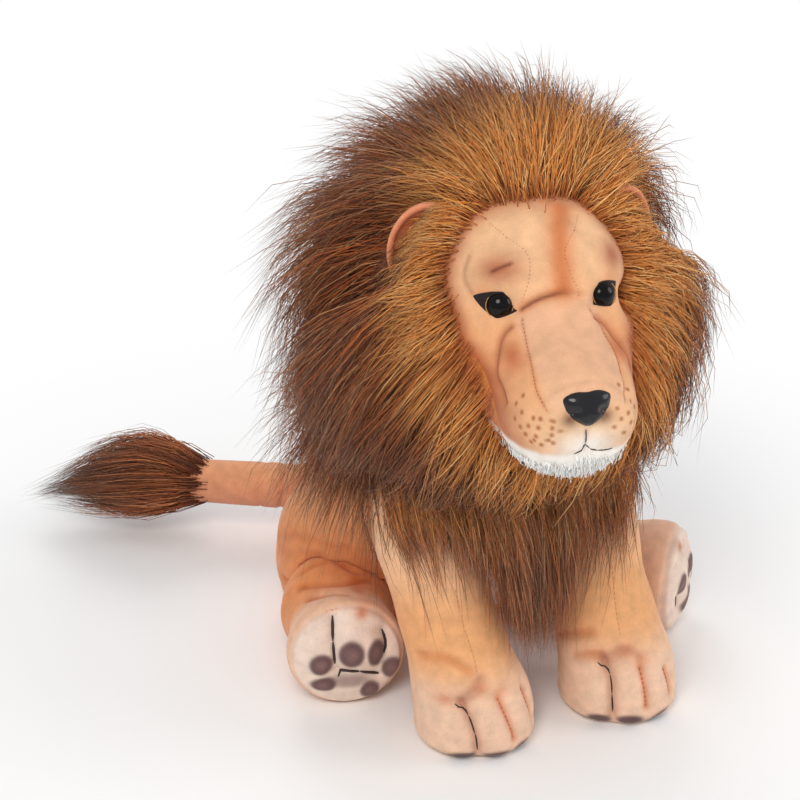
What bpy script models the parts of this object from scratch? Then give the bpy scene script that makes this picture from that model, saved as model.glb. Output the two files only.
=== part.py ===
# Sitting plush lion with a long mane.
# Metres, +Z up. The lion looks along -Y and +X is its own left side.
# The origin is the centre of the flat seat panel that it sits on.

import math

import bmesh
import bpy
import numpy as np
from mathutils import Matrix, Vector
from mathutils.bvhtree import BVHTree

# Cloth, seams and running gaps
CLOTH = 0.0015
SEAM_GAP = 0.0003
JOINT_GAP = 0.0008
FUR_GAP = 0.0008
TRIM_GAP = 0.0006
SETTLE_DEPTH = 0.0005
CUTTER_OVERRUN = 0.010

# Faces round each form
BODY_SIDES = 24
LIMB_SIDES = 16
SMALL_SIDES = 12
BALL_DETAIL = 3
ROUND = 2
DOME_RINGS = 5
DOME_POLE = math.radians(15)
SOCKET_POLE = math.radians(7.5)

# Body
BODY_HEIGHT = 0.165
BODY_HALF_WIDTH = 0.076
BODY_HALF_DEPTH = 0.058
BODY_LEAN = 0.088
BODY_ROUNDNESS = 2.2
# Height, lean, width and depth of each ring
BODY_SHARES = (
    (0.000, 0.00, 0.74, 0.72),
    (0.030, 0.00, 0.87, 0.85),
    (0.110, 0.00, 0.97, 0.96),
    (0.260, 0.05, 1.00, 1.00),
    (0.440, 0.22, 0.95, 0.95),
    (0.600, 0.45, 0.84, 0.86),
    (0.760, 0.72, 0.70, 0.76),
    (0.900, 0.93, 0.56, 0.64),
    (1.000, 1.00, 0.42, 0.48),
)
BELLY_PANEL_BOTTOM_SHARE = 0.10
BELLY_PANEL_TOP_SHARE = 0.62
BELLY_PANEL_HALF_ANGLE = math.radians(22)
BELLY_PANEL_CELLS = 6

# Neck
NECK_RISE = 0.017
NECK_AHEAD = 0.002
NECK_FORWARD = BODY_LEAN + NECK_AHEAD
NECK_HEIGHT = BODY_HEIGHT + NECK_RISE
NECK_RADIUS = 0.037
HEAD_TURN = math.radians(-9.5)
NECK_HEAD_SLOPE = math.radians(14)
NECK_POLE = math.radians(5)
NECK_RINGS = 9

# Head
HEAD_LENGTH = 0.157
HEAD_HALF_WIDTH = 0.050
HEAD_HALF_HEIGHT = 0.052
HEAD_RISE = 0.052
HEAD_BACK = 0.012
HEAD_ROUNDNESS = 2.1
MIDDLE_SHARE = 0.333
# Length, rise, width and height of each ring, back of the head first
HEAD_SHARES = (
    (0.000, 1.00, 0.16, 0.16),
    (0.038, 1.00, 0.46, 0.46),
    (0.114, 1.00, 0.74, 0.76),
    (0.234, 1.00, 0.93, 0.94),
    (0.361, 1.00, 1.00, 1.00),
    (0.468, 0.97, 0.98, 0.98),
    (0.557, 0.90, 0.91, 0.92),
    (0.633, 0.77, 0.80, 0.82),
    (0.690, 0.62, 0.70, 0.66),
    (0.772, 0.55, 0.63, 0.57),
    (0.867, 0.53, 0.58, 0.51),
    (0.943, 0.54, 0.47, 0.42),
    (0.987, 0.57, 0.28, 0.26),
    (1.000, 0.58, 0.08, 0.08),
)

# Eyes and nose
EYE_HALF_SPACING = 0.025
EYE_RISE = 0.016
EYE_RADIUS = 0.0055
EYE_DOME_SHARE = 0.775
EYE_POLE = math.radians(12)
EYELID_RADIUS = 0.0085
EYELID_HEIGHT_SHARE = 0.8
EYELID_THICKNESS = 0.0010
SHANK_RADIUS = 0.0018
SHANK_LENGTH = 0.012
WASHER_RADIUS = 0.0065
WASHER_THICKNESS = 0.0015
WASHER_PLAY = 0.0003
EYE_WASHER_DEPTH = 0.0033
NOSE_WASHER_DEPTH = 0.0065
NOSE_HALF_WIDTH = 0.0125
NOSE_HALF_HEIGHT = 0.0085
NOSE_HALF_DEPTH = 0.0080
NOSE_DROP = 0.0125
NOSE_TILT = math.radians(28)

# Chin
CHIN_SETBACK = 0.026
CHIN_DROP = 0.044
CHIN_HALF_WIDTH = 0.0215
CHIN_HALF_LENGTH = 0.0175
CHIN_HALF_HEIGHT = 0.0130

# Ears
EAR_AHEAD = 0.0067
EAR_RISE = 0.024
EAR_RADIUS = 0.020
EAR_DEPTH_SHARE = 0.55
EAR_CLOTH = 0.0030
EAR_OUTWARD = math.radians(32)
EAR_POCKET = 0.0015
EAR_POCKET_REACH = 0.045

# Mane on the head
MANE_HALF_WIDTH = 0.109
MANE_HALF_DEPTH = 0.095
MANE_HALF_HEIGHT = 0.112
MANE_SETBACK = 0.0403
MANE_DROP = 0.020
MANE_RIM_SHARE = 0.10
MANE_INNER_SHARE = 0.92
MANE_RISE_ANGLE = math.radians(52)
HAIRLINE_TOP = math.radians(66)
HAIRLINE_SIDE = math.radians(60)
HAIRLINE_CHIN = math.radians(50)
RUFF_WIDTH = math.radians(30)
CROWN_HALF_ANGLE = math.radians(38)
CHEEK_ANGLE = math.radians(136)
BACK_END = math.radians(150)
NAPE_POLE = math.radians(176)
MANE_SPLIT = math.radians(0.5)
MANE_CELLS = 6
MANE_RINGS = 5
NAPE_RINGS = 4

# Mane on the body
COLLAR_RADIUS = 0.104
COLLAR_DROP = 0.076
COLLAR_BOTTOM_SHARE = 0.72
COLLAR_INNER_SHARE = 0.90
COLLAR_SETBACK = 0.018
COLLAR_SLOPE = math.radians(20.5)
COLLAR_FRONT = math.radians(84)
COLLAR_CELLS = 9
COLLAR_ROWS = 5
BIB_DROP = 0.032
BIB_LENGTH = 0.104
BIB_HALF_WIDTH = 0.0135
BIB_DEPTH = 0.030
BIB_TIP_SHARE = 0.3
BIB_RINGS = 7

# Front legs
SHOULDER_SIDE = 0.044
SHOULDER_SETBACK = 0.040
SHOULDER_DROP = 0.049
SHOULDER_HEIGHT = BODY_HEIGHT - SHOULDER_DROP
FRONT_LEG_HALF_WIDTH = 0.027
PAW_FORWARD_RIGHT = 0.031
PAW_FORWARD_LEFT = 0.034
PAW_INWARD_RIGHT = 0.016
PAW_OUTWARD_LEFT = 0.008
PAW_HALF_LENGTH = 0.0305
FRONT_LEG_SWING = math.radians(20)
# Height, forward step, half width and half length of each ring below the shoulder
FRONT_LEG_SHARES = (
    (0.86, 0.12, 0.98, 0.86),
    (0.70, 0.30, 0.93, 0.84),
    (0.54, 0.50, 0.92, 0.82),
    (0.38, 0.72, 0.98, 0.88),
    (0.22, 0.93, 1.08, 0.98),
    (0.10, 1.00, 1.11, 1.00),
    (0.02, 1.00, 1.02, 0.92),
    (0.00, 1.00, 0.90, 0.80),
)

# Hind legs
HIP_INSET = 0.014
HIP_SETBACK = 0.015
HIND_LEG_RADIUS = 0.0290
HIND_LEG_LENGTH_RIGHT = 0.048
HIND_LEG_LENGTH_LEFT = 0.072
HIND_SPLAY_RIGHT = math.radians(17)
HIND_SPLAY_LEFT = math.radians(48)
HIND_LEG_LIFT = math.radians(12)
# Distance and radius of each ring in front of the hip
HIND_LEG_SHARES = (
    (0.22, 0.98),
    (0.44, 0.93),
    (0.64, 0.96),
    (0.82, 1.03),
    (0.95, 1.03),
    (1.00, 0.97),
)

# Tail
TAIL_ROOT_HEIGHT = 0.030
TAIL_ROOT_RADIUS = 0.0135
TAIL_ROOT_STAND_OFF = 0.0125
TAIL_SWING = math.radians(60)
TAIL_RISE = math.radians(1)
TAIL_LENGTH = 0.097
TAIL_TIP_RADIUS_SHARE = 0.75
TAIL_RINGS = 6
TUFT_LENGTH = 0.092
TUFT_RADIUS = 0.0255
TUFT_LIFT = 0.004
# Distance and radius of each ring of the tuft
TUFT_SHARES = (
    (0.00, 0.40),
    (0.05, 0.66),
    (0.16, 0.92),
    (0.32, 1.00),
    (0.52, 0.86),
    (0.74, 0.52),
    (0.92, 0.20),
    (1.00, 0.05),
)

ACROSS = np.array((1.0, 0.0, 0.0))
BACKWARD = np.array((0.0, 1.0, 0.0))
UPWARD = np.array((0.0, 0.0, 1.0))
NECK = np.array((0.0, -NECK_FORWARD, NECK_HEIGHT))
SIDES = (("right", -1), ("left", 1))
SQUARE = math.radians(90)
SWEEP_STEPS = 6
SWEEP_RINGS = 3


def clear_scene():
    for thing in list(bpy.data.objects):
        bpy.data.objects.remove(thing)


def material(name, colour, roughness, metallic=0.0):
    made = bpy.data.materials.new(name)
    made.use_nodes = True
    shader = made.node_tree.nodes["Principled BSDF"]
    shader.inputs["Base Color"].default_value = (*colour, 1.0)
    shader.inputs["Roughness"].default_value = roughness
    shader.inputs["Metallic"].default_value = metallic
    return made


def short_pile(name):
    return material(name, (0.72, 0.33, 0.14), 0.9)


def pale_pile(name):
    return material(name, (0.78, 0.55, 0.42), 0.9)


def white_fur(name):
    return material(name, (0.85, 0.82, 0.78), 0.95)


def grey_pile(name):
    return material(name, (0.55, 0.50, 0.46), 0.95)


def fibre_fill(name):
    return material(name, (0.90, 0.90, 0.88), 1.0)


def golden_fur(name):
    return material(name, (0.55, 0.24, 0.06), 0.9)


def dark_fur(name):
    return material(name, (0.16, 0.075, 0.04), 0.9)


def ear_cloth(name):
    return material(name, (0.75, 0.27, 0.12), 0.9)


def black_gloss(name):
    return material(name, (0.012, 0.010, 0.010), 0.08)


def black_felt(name):
    return material(name, (0.03, 0.02, 0.018), 0.95)


def washer_plastic(name):
    return material(name, (0.80, 0.80, 0.80), 0.5)


def new_object(name, points, faces, finish=None):
    mesh = bpy.data.meshes.new(name)
    mesh.from_pydata([tuple(point) for point in points], [], faces)
    work = bmesh.new()
    work.from_mesh(mesh)
    bmesh.ops.recalc_face_normals(work, faces=work.faces)
    work.to_mesh(mesh)
    work.free()
    mesh.shade_smooth()
    made = bpy.data.objects.new(name, mesh)
    bpy.context.scene.collection.objects.link(made)
    if finish:
        mesh.materials.append(finish(name))
    return made


def as_cutter(made):
    made.hide_render = True
    made.display_type = "WIRE"
    return made


def cut(made, cutters):
    for cutter in cutters:
        difference = made.modifiers.new("cut_" + cutter.name, "BOOLEAN")
        difference.operation = "DIFFERENCE"
        difference.solver = "EXACT"
        difference.object = cutter


def join_to(made, extra):
    union = made.modifiers.new("join_" + extra.name, "BOOLEAN")
    union.operation = "UNION"
    union.solver = "EXACT"
    union.object = as_cutter(extra)


def oval(centre, across, upward, half_across, half_up, roundness, count):
    angles = np.linspace(0.0, math.tau, count, endpoint=False)
    wide = np.sign(np.cos(angles)) * np.abs(np.cos(angles)) ** (2 / roundness)
    high = np.sign(np.sin(angles)) * np.abs(np.sin(angles)) ** (2 / roundness)
    return centre + np.outer(wide * half_across, across) + np.outer(high * half_up, upward)


def circle(centre, across, upward, radius, count):
    return oval(centre, across, upward, radius, radius, ROUND, count)


def inset(rings, depth, flat_first=False, flat_last=False):
    # Moves each point of a ring form inward along the surface normal.
    # A flat end ring stays in its own plane.
    along = np.gradient(rings, axis=0)
    around = np.roll(rings, -1, axis=1) - np.roll(rings, 1, axis=1)
    normals = np.cross(along, around)
    outward = rings - rings.mean(axis=1, keepdims=True)
    if (normals * outward).sum() < 0:
        normals = -normals
    for index, flat in ((0, flat_first), (-1, flat_last)):
        if flat:
            plane = np.cross(around[index], np.roll(around[index], 3, axis=0)).sum(axis=0)
            plane = plane / np.linalg.norm(plane)
            normals[index] -= np.outer(normals[index] @ plane, plane)
    normals /= np.linalg.norm(normals, axis=2, keepdims=True)
    return rings - normals * depth


def floor_at(rings, height):
    lifted = rings.copy()
    lifted[:, :, 2] = np.maximum(lifted[:, :, 2], height)
    return lifted


def side_faces(rows, count, start=0):
    faces = []
    for row in range(rows - 1):
        for column in range(count):
            following = (column + 1) % count
            here = start + row * count
            faces.append((here + column, here + following, here + count + following, here + count + column))
    return faces


def end_cap(points, faces, ring_start, count):
    hub = len(points)
    points.append(np.mean([points[ring_start + step] for step in range(count)], axis=0))
    for column in range(count):
        faces.append((ring_start + column, ring_start + (column + 1) % count, hub))


def solid(name, rings, finish=None):
    rows, count, _ = rings.shape
    points = list(rings.reshape(-1, 3))
    faces = side_faces(rows, count)
    end_cap(points, faces, 0, count)
    end_cap(points, faces, (rows - 1) * count, count)
    return new_object(name, points, faces, finish)


def shell(name, outer, inner, open_first, open_last, finish=None):
    # A wall between two ring forms, open where a skin is sewn to its neighbour.
    rows, count, _ = outer.shape
    points = list(outer.reshape(-1, 3)) + list(inner.reshape(-1, 3))
    size = rows * count
    faces = side_faces(rows, count) + side_faces(rows, count, size)
    for ring_start, opened in ((0, open_first), (size - count, open_last)):
        if opened:
            for column in range(count):
                following = (column + 1) % count
                faces.append((ring_start + column, ring_start + following,
                              size + ring_start + following, size + ring_start + column))
        else:
            end_cap(points, faces, ring_start, count)
            end_cap(points, faces, size + ring_start, count)
    return new_object(name, points, faces, finish)


def block(name, outer, inner, finish=None):
    # A closed solid between two grids of points with open edges.
    rows, count, _ = outer.shape
    size = rows * count
    points = list(outer.reshape(-1, 3)) + list(inner.reshape(-1, 3))
    faces = []
    for start in (0, size):
        for row in range(rows - 1):
            for column in range(count - 1):
                here = start + row * count + column
                faces.append((here, here + 1, here + count + 1, here + count))
    for row in range(rows - 1):
        for column in (0, count - 1):
            here = row * count + column
            faces.append((here, here + count, size + here + count, size + here))
    for column in range(count - 1):
        for row in (0, rows - 1):
            here = row * count + column
            faces.append((here, here + 1, size + here + 1, size + here))
    return new_object(name, points, faces, finish)


def ball(name, centre, radii, finish=None, frame=None):
    work = bmesh.new()
    bmesh.ops.create_icosphere(work, subdivisions=BALL_DETAIL, radius=1)
    places = np.array([vertex.co for vertex in work.verts]) * radii
    faces = [[vertex.index for vertex in face.verts] for face in work.faces]
    work.free()
    if frame is not None:
        places = places @ frame
    return new_object(name, places + centre, faces, finish)


def rod(name, start, direction, radius, length, finish=None):
    across, upward = square_to(direction)
    ends = (start, start + direction * length)
    rings = np.array([circle(end, across, upward, radius, SMALL_SIDES) for end in ends])
    return solid(name, rings, finish)


def square_to(direction):
    across = np.cross(direction, UPWARD)
    across = across / np.linalg.norm(across)
    return across, np.cross(across, direction)


def on_head(points):
    # From the head's own frame, which looks along -Y from the neck, to the lion's.
    cosine = math.cos(HEAD_TURN)
    sine = math.sin(HEAD_TURN)
    points = np.asarray(points)
    turned = np.stack((points[..., 0] * cosine - points[..., 1] * sine,
                       points[..., 0] * sine + points[..., 1] * cosine,
                       points[..., 2]), axis=-1)
    return turned + NECK


def head_direction(direction):
    return on_head(direction) - NECK


def body_rings():
    rings = []
    for height, lean, width, depth in BODY_SHARES:
        centre = np.array((0.0, -BODY_LEAN * lean, BODY_HEIGHT * height))
        rings.append(oval(centre, ACROSS, BACKWARD, BODY_HALF_WIDTH * width,
                          BODY_HALF_DEPTH * depth, BODY_ROUNDNESS, BODY_SIDES))
    return np.array(rings)


def head_middle():
    # The middle of the head's widest part, in the head's own frame.
    return np.array((0.0, HEAD_BACK - HEAD_LENGTH * MIDDLE_SHARE, HEAD_RISE))


def head_rings():
    rings = []
    for length, rise, width, height in HEAD_SHARES:
        centre = np.array((0.0, HEAD_BACK - HEAD_LENGTH * length, HEAD_RISE * rise))
        rings.append(oval(centre, ACROSS, UPWARD, HEAD_HALF_WIDTH * width,
                          HEAD_HALF_HEIGHT * height, HEAD_ROUNDNESS, BODY_SIDES))
    return on_head(np.array(rings))


def shoulder(side):
    return np.array((side * SHOULDER_SIDE, SHOULDER_SETBACK - BODY_LEAN - BODY_HALF_DEPTH, SHOULDER_HEIGHT))


def front_leg_rings(side):
    pivot = shoulder(side)
    paw_forward = PAW_FORWARD_LEFT if side > 0 else PAW_FORWARD_RIGHT
    paw_sideways = PAW_OUTWARD_LEFT if side > 0 else PAW_INWARD_RIGHT
    rings = []
    for angle in np.linspace(DOME_POLE, SQUARE, DOME_RINGS):
        reach = FRONT_LEG_HALF_WIDTH * math.sin(angle)
        centre = pivot + UPWARD * FRONT_LEG_HALF_WIDTH * math.cos(angle)
        rings.append(circle(centre, ACROSS, BACKWARD, reach, LIMB_SIDES))
    for height, forward, width, length in FRONT_LEG_SHARES:
        centre = pivot - BACKWARD * paw_forward * forward + ACROSS * paw_sideways * forward
        centre[2] = SHOULDER_HEIGHT * height
        rings.append(oval(centre, ACROSS, BACKWARD, FRONT_LEG_HALF_WIDTH * width,
                          PAW_HALF_LENGTH * length, ROUND, LIMB_SIDES))
    return np.array(rings)


def hip(side):
    return np.array((side * (BODY_HALF_WIDTH - HIP_INSET), HIP_SETBACK - BODY_HALF_DEPTH,
                     HIND_LEG_RADIUS - SETTLE_DEPTH))


def hind_leg_direction(side):
    splay = HIND_SPLAY_LEFT if side > 0 else HIND_SPLAY_RIGHT
    return np.array((side * math.sin(splay), -math.cos(splay), 0.0))


def hind_leg_rings(side):
    pivot = hip(side)
    direction = hind_leg_direction(side)
    length = HIND_LEG_LENGTH_LEFT if side > 0 else HIND_LEG_LENGTH_RIGHT
    across, upward = square_to(direction)
    rings = []
    for angle in np.linspace(DOME_POLE, SQUARE, DOME_RINGS):
        reach = HIND_LEG_RADIUS * math.sin(angle)
        centre = pivot - direction * HIND_LEG_RADIUS * math.cos(angle)
        rings.append(circle(centre, across, upward, reach, LIMB_SIDES))
    for distance, radius in HIND_LEG_SHARES:
        centre = pivot + direction * length * distance
        rings.append(circle(centre, across, upward, HIND_LEG_RADIUS * radius, LIMB_SIDES))
    return np.array(rings)


def turned(rings, pivot, axis, angle):
    turn = np.array(Matrix.Rotation(angle, 3, Vector(axis)))
    return (rings - pivot) @ turn.T + pivot


def finer(rings):
    # The same form with more rings between its own.
    last = len(rings) - 1
    places = np.linspace(0, last, last * SWEEP_RINGS + 1)
    rows = np.minimum(places.astype(int), last - 1)
    blend = (places - rows)[:, None, None]
    return rings[rows] * (1 - blend) + rings[rows + 1] * blend


def near_pole(ring, pivot):
    # A ring nearer the pole of a limb's round end than the one that the end is cut flat at.
    middle = ring.mean(axis=0)
    outward = (middle - pivot) / np.linalg.norm(middle - pivot)
    radius = np.linalg.norm(ring[0] - pivot)
    pole = pivot + outward * radius * math.cos(SOCKET_POLE)
    return pole + (ring - middle) * math.sin(SOCKET_POLE) / math.sin(DOME_POLE)


def swept(rings, pivot, axis, reach):
    # The rings widened to the outline that a limb passes over as it swings to its limit.
    probes = [surface_of(turned(rings, pivot, axis, angle)) for angle in np.linspace(0, reach, SWEEP_STEPS)]
    widened = np.concatenate((near_pole(rings[0], pivot)[None], finer(rings)))
    for row, ring in enumerate(widened):
        centre = ring.mean(axis=0)
        for column, point in enumerate(ring):
            extent = np.linalg.norm(point - centre)
            outward = (point - centre) / extent
            start = Vector(centre + outward * BODY_HEIGHT)
            for probe in probes:
                place, _, _, _ = probe.ray_cast(start, Vector(-outward))
                if place:
                    extent = max(extent, (np.array(place) - centre) @ outward)
            widened[row, column] = centre + outward * extent
    return widened


def limb_sockets(side_name, side):
    sockets = []
    lift_axis = np.cross(hind_leg_direction(side), UPWARD)
    limbs = (("shoulder", front_leg_rings(side), shoulder(side), -ACROSS, FRONT_LEG_SWING),
             ("hip", hind_leg_rings(side), hip(side), lift_axis, HIND_LEG_LIFT))
    for limb, rings, pivot, axis, reach in limbs:
        room = inset(swept(rings, pivot, axis, reach), -JOINT_GAP)
        sockets.append(as_cutter(solid(limb + "_socket_" + side_name, room)))
    return sockets


def tail_pivot():
    rump = max(ring[:, 1].max() for ring in body_rings())
    return np.array((0.0, rump + TAIL_ROOT_STAND_OFF, TAIL_ROOT_HEIGHT))


def tail_direction():
    flat = math.cos(TAIL_RISE)
    return np.array((-math.sin(TAIL_SWING) * flat, math.cos(TAIL_SWING) * flat, math.sin(TAIL_RISE)))


def make_body(sockets):
    outer = body_rings()
    inner = inset(outer, CLOTH, flat_first=True, flat_last=True)
    skin = shell("body_skin", outer, inner, True, True, short_pile)
    filling = inset(outer, CLOTH + SEAM_GAP, flat_first=True, flat_last=True)
    filling = np.concatenate((filling[:1] + UPWARD * (CLOTH + SEAM_GAP), filling[2:]))
    stuffing = solid("body_stuffing", filling, fibre_fill)
    cut(skin, sockets)
    cut(stuffing, sockets)
    floor_ring = inset(outer, CLOTH + SEAM_GAP, flat_first=True)[0]
    seat = np.array((floor_ring, floor_ring + UPWARD * CLOTH))
    solid("seat_panel", seat, pale_pile)


def surface_point(rings, height, angle):
    # Place and normal on a form's side at a height share and an angle from the front.
    levels = np.array([shares[0] for shares in BODY_SHARES])
    steps = np.interp(height, levels, np.arange(len(levels)))
    row = min(int(steps), len(levels) - 2)
    blend = steps - row
    ring = rings[row] * (1 - blend) + rings[row + 1] * blend
    centre = ring.mean(axis=0)
    heading = np.arctan2(ring[:, 0] - centre[0], -(ring[:, 1] - centre[1]))
    order = np.argsort(heading)
    x = np.interp(angle, heading[order], ring[order, 0], period=math.tau)
    y = np.interp(angle, heading[order], ring[order, 1], period=math.tau)
    return np.array((x, y, ring[0, 2])), centre


def make_belly_panel():
    rings = body_rings()
    outer = []
    inner = []
    for height in np.linspace(BELLY_PANEL_BOTTOM_SHARE, BELLY_PANEL_TOP_SHARE, BELLY_PANEL_CELLS + 1):
        outer_row = []
        inner_row = []
        for angle in np.linspace(-BELLY_PANEL_HALF_ANGLE, BELLY_PANEL_HALF_ANGLE, BELLY_PANEL_CELLS + 1):
            place, centre = surface_point(rings, height, angle)
            outward = (place - centre) / np.linalg.norm(place - centre)
            inner_row.append(place + outward * FUR_GAP)
            outer_row.append(place + outward * (FUR_GAP + CLOTH))
        outer.append(outer_row)
        inner.append(inner_row)
    block("belly_panel", np.array(outer), np.array(inner), grey_pile)


def make_neck():
    ball("neck_stuffing", NECK, NECK_RADIUS, fibre_fill)


def neck_socket():
    return as_cutter(ball("neck_socket", NECK, NECK_RADIUS + JOINT_GAP))


def head_clearance():
    rings = inset(head_rings(), -TRIM_GAP)
    return as_cutter(solid("head_clearance", rings))


def neck_clearance():
    # Everything under the head that the nodding mane has to miss.
    reach = MANE_HALF_WIDTH + MANE_HALF_WIDTH
    radius = NECK_RADIUS + JOINT_GAP
    profile = []
    for angle in np.linspace(NECK_POLE, SQUARE + NECK_HEAD_SLOPE, NECK_RINGS):
        profile.append((radius * math.sin(angle), radius * math.cos(angle)))
    profile.append((reach, -reach * math.tan(NECK_HEAD_SLOPE)))
    profile.append((reach, -reach))
    profile.append((CUTTER_OVERRUN, -reach))
    rings = [circle(NECK + UPWARD * height, ACROSS, BACKWARD, width, BODY_SIDES)
             for width, height in profile]
    return as_cutter(solid("neck_clearance", np.array(rings)))


def surface_of(rings):
    hull = as_cutter(solid("surface_probe", rings))
    probe = BVHTree.FromPolygons([vertex.co for vertex in hull.data.vertices],
                                 [polygon.vertices for polygon in hull.data.polygons])
    bpy.data.objects.remove(hull)
    return probe


def make_head(face_cutters, stuffing_cutters, socket):
    outer = head_rings()
    skin = shell("head_cover", outer, inset(outer, CLOTH), True, False, short_pile)
    stuffing = solid("head_stuffing", inset(outer, CLOTH + SEAM_GAP), fibre_fill)
    cut(skin, [socket] + face_cutters)
    cut(stuffing, [socket] + stuffing_cutters)


def face_seat(probe, x, z):
    # Where a straight line from the front meets the face, and the face's normal there.
    start = on_head((x, -HEAD_LENGTH - HEAD_LENGTH, z))
    place, normal, _, _ = probe.ray_cast(Vector(start), Vector(head_direction((0.0, 1.0, 0.0))))
    return np.array(place), np.array(normal)


def shank_and_washer(name, seat, inward, depth, face_cutters, stuffing_cutters):
    # The shank's hole, its washer behind the cover and the room that both take in the stuffing.
    hole = rod(name + "_hole", seat - inward * CUTTER_OVERRUN, inward,
               SHANK_RADIUS + SEAM_GAP, CUTTER_OVERRUN + CUTTER_OVERRUN)
    room_start = seat - inward * CUTTER_OVERRUN
    room_length = CUTTER_OVERRUN + SHANK_LENGTH + SEAM_GAP
    room = rod(name + "_room", room_start, inward, WASHER_RADIUS + SEAM_GAP, room_length)
    face_cutters.append(as_cutter(hole))
    stuffing_cutters.append(as_cutter(room))
    across, upward = square_to(inward)
    near = seat + inward * depth
    outer = []
    inner = []
    for place in (near, near + inward * WASHER_THICKNESS):
        outer.append(circle(place, across, upward, WASHER_RADIUS, SMALL_SIDES))
        inner.append(circle(place, across, upward, SHANK_RADIUS + WASHER_PLAY, SMALL_SIDES))
    shell(name + "_washer", np.array(outer), np.array(inner), True, True, washer_plastic)


def make_eye(side_name, side, probe, face_cutters, stuffing_cutters):
    seat, normal = face_seat(probe, side * EYE_HALF_SPACING, HEAD_RISE + EYE_RISE)
    base = seat + normal * TRIM_GAP
    across, upward = square_to(normal)
    rings = []
    for angle in np.linspace(SQUARE, EYE_POLE, DOME_RINGS):
        place = base + normal * EYE_RADIUS * math.cos(angle) * EYE_DOME_SHARE
        rings.append(circle(place, across, upward, EYE_RADIUS * math.sin(angle), SMALL_SIDES))
    name = "eye_" + side_name
    eye = solid(name, np.array(rings), black_gloss)
    shank = rod(name + "_shank", base + normal * EYE_RADIUS / 2, -normal, SHANK_RADIUS,
                SHANK_LENGTH + EYE_RADIUS / 2)
    join_to(eye, shank)
    outer = []
    inner = []
    for place in (base, base + normal * EYELID_THICKNESS):
        outer.append(oval(place, across, upward, EYELID_RADIUS, EYELID_RADIUS * EYELID_HEIGHT_SHARE,
                          ROUND, SMALL_SIDES))
        inner.append(circle(place, across, upward, EYE_RADIUS + SEAM_GAP, SMALL_SIDES))
    shell("eyelid_" + side_name, np.array(outer), np.array(inner), True, True, black_felt)
    shank_and_washer(name, seat, -normal, EYE_WASHER_DEPTH, face_cutters, stuffing_cutters)


def make_nose(probe, clearance, face_cutters, stuffing_cutters):
    seat, _ = face_seat(probe, 0.0, HEAD_RISE - NOSE_DROP)
    normal = head_direction((0.0, -math.cos(NOSE_TILT), math.sin(NOSE_TILT)))
    across, upward = square_to(normal)
    frame = np.array((across, upward, normal))
    nose = ball("nose", seat, (NOSE_HALF_WIDTH, NOSE_HALF_HEIGHT, NOSE_HALF_DEPTH), black_gloss, frame)
    cut(nose, [clearance])
    shank = rod("nose_shank", seat + normal * NOSE_HALF_DEPTH / 2, -normal, SHANK_RADIUS,
                SHANK_LENGTH + NOSE_HALF_DEPTH / 2)
    join_to(nose, shank)
    shank_and_washer("nose", seat, -normal, NOSE_WASHER_DEPTH, face_cutters, stuffing_cutters)


def make_chin(clearance):
    centre = on_head((0.0, HEAD_BACK - HEAD_LENGTH + CHIN_SETBACK, HEAD_RISE - CHIN_DROP))
    frame = np.array([head_direction(axis) for axis in np.eye(3)])
    chin = ball("chin", centre, (CHIN_HALF_WIDTH, CHIN_HALF_LENGTH, CHIN_HALF_HEIGHT), white_fur, frame)
    cut(chin, [clearance])


def ear_frame(side):
    facing = head_direction((side * math.sin(EAR_OUTWARD), -math.cos(EAR_OUTWARD), 0.0))
    across, upward = square_to(facing)
    return facing, across, upward


def ear_centre(side):
    middle = head_middle()
    return on_head((side * HEAD_HALF_WIDTH, middle[1] - EAR_AHEAD, HEAD_RISE + EAR_RISE))


def ear_bowl(side, radius, depth):
    facing, across, upward = ear_frame(side)
    rings = []
    for angle in np.linspace(SQUARE, DOME_POLE, DOME_RINGS):
        place = ear_centre(side) - facing * depth * math.cos(angle)
        rings.append(circle(place, across, upward, radius * math.sin(angle), LIMB_SIDES))
    return np.array(rings)


def make_ear(side_name, side, clearance):
    depth = EAR_RADIUS * EAR_DEPTH_SHARE
    outer = ear_bowl(side, EAR_RADIUS, depth)
    inner = ear_bowl(side, EAR_RADIUS - EAR_CLOTH, depth - EAR_CLOTH)
    ear = shell("ear_" + side_name, outer, inner, True, False, ear_cloth)
    cut(ear, [clearance])


def ear_pocket(side_name, side):
    facing, _, _ = ear_frame(side)
    bowl = ear_bowl(side, EAR_RADIUS + EAR_POCKET, EAR_RADIUS * EAR_DEPTH_SHARE + EAR_POCKET)
    rings = np.concatenate(([bowl[0] + facing * EAR_POCKET_REACH], bowl))
    return as_cutter(solid("ear_pocket_" + side_name, rings))


def hairline(around):
    # Angle from straight ahead at which the fur starts, by the angle around from the top.
    top = HAIRLINE_TOP + (HAIRLINE_SIDE - HAIRLINE_TOP) * abs(math.sin(around))
    low = HAIRLINE_CHIN + (HAIRLINE_SIDE - HAIRLINE_CHIN) * abs(math.sin(around))
    return top if math.cos(around) > 0 else low


def mane_reach(origin, ray):
    # Distance from a point inside the head to the mane's round outline.
    centre = head_middle() + BACKWARD * MANE_SETBACK - UPWARD * MANE_DROP
    radii = np.array((MANE_HALF_WIDTH, MANE_HALF_DEPTH, MANE_HALF_HEIGHT))
    start = (origin - centre) / radii
    step = ray / radii
    half = (start @ step) / (step @ step)
    return -half + math.sqrt(half * half - (start @ start - 1) / (step @ step))


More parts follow.
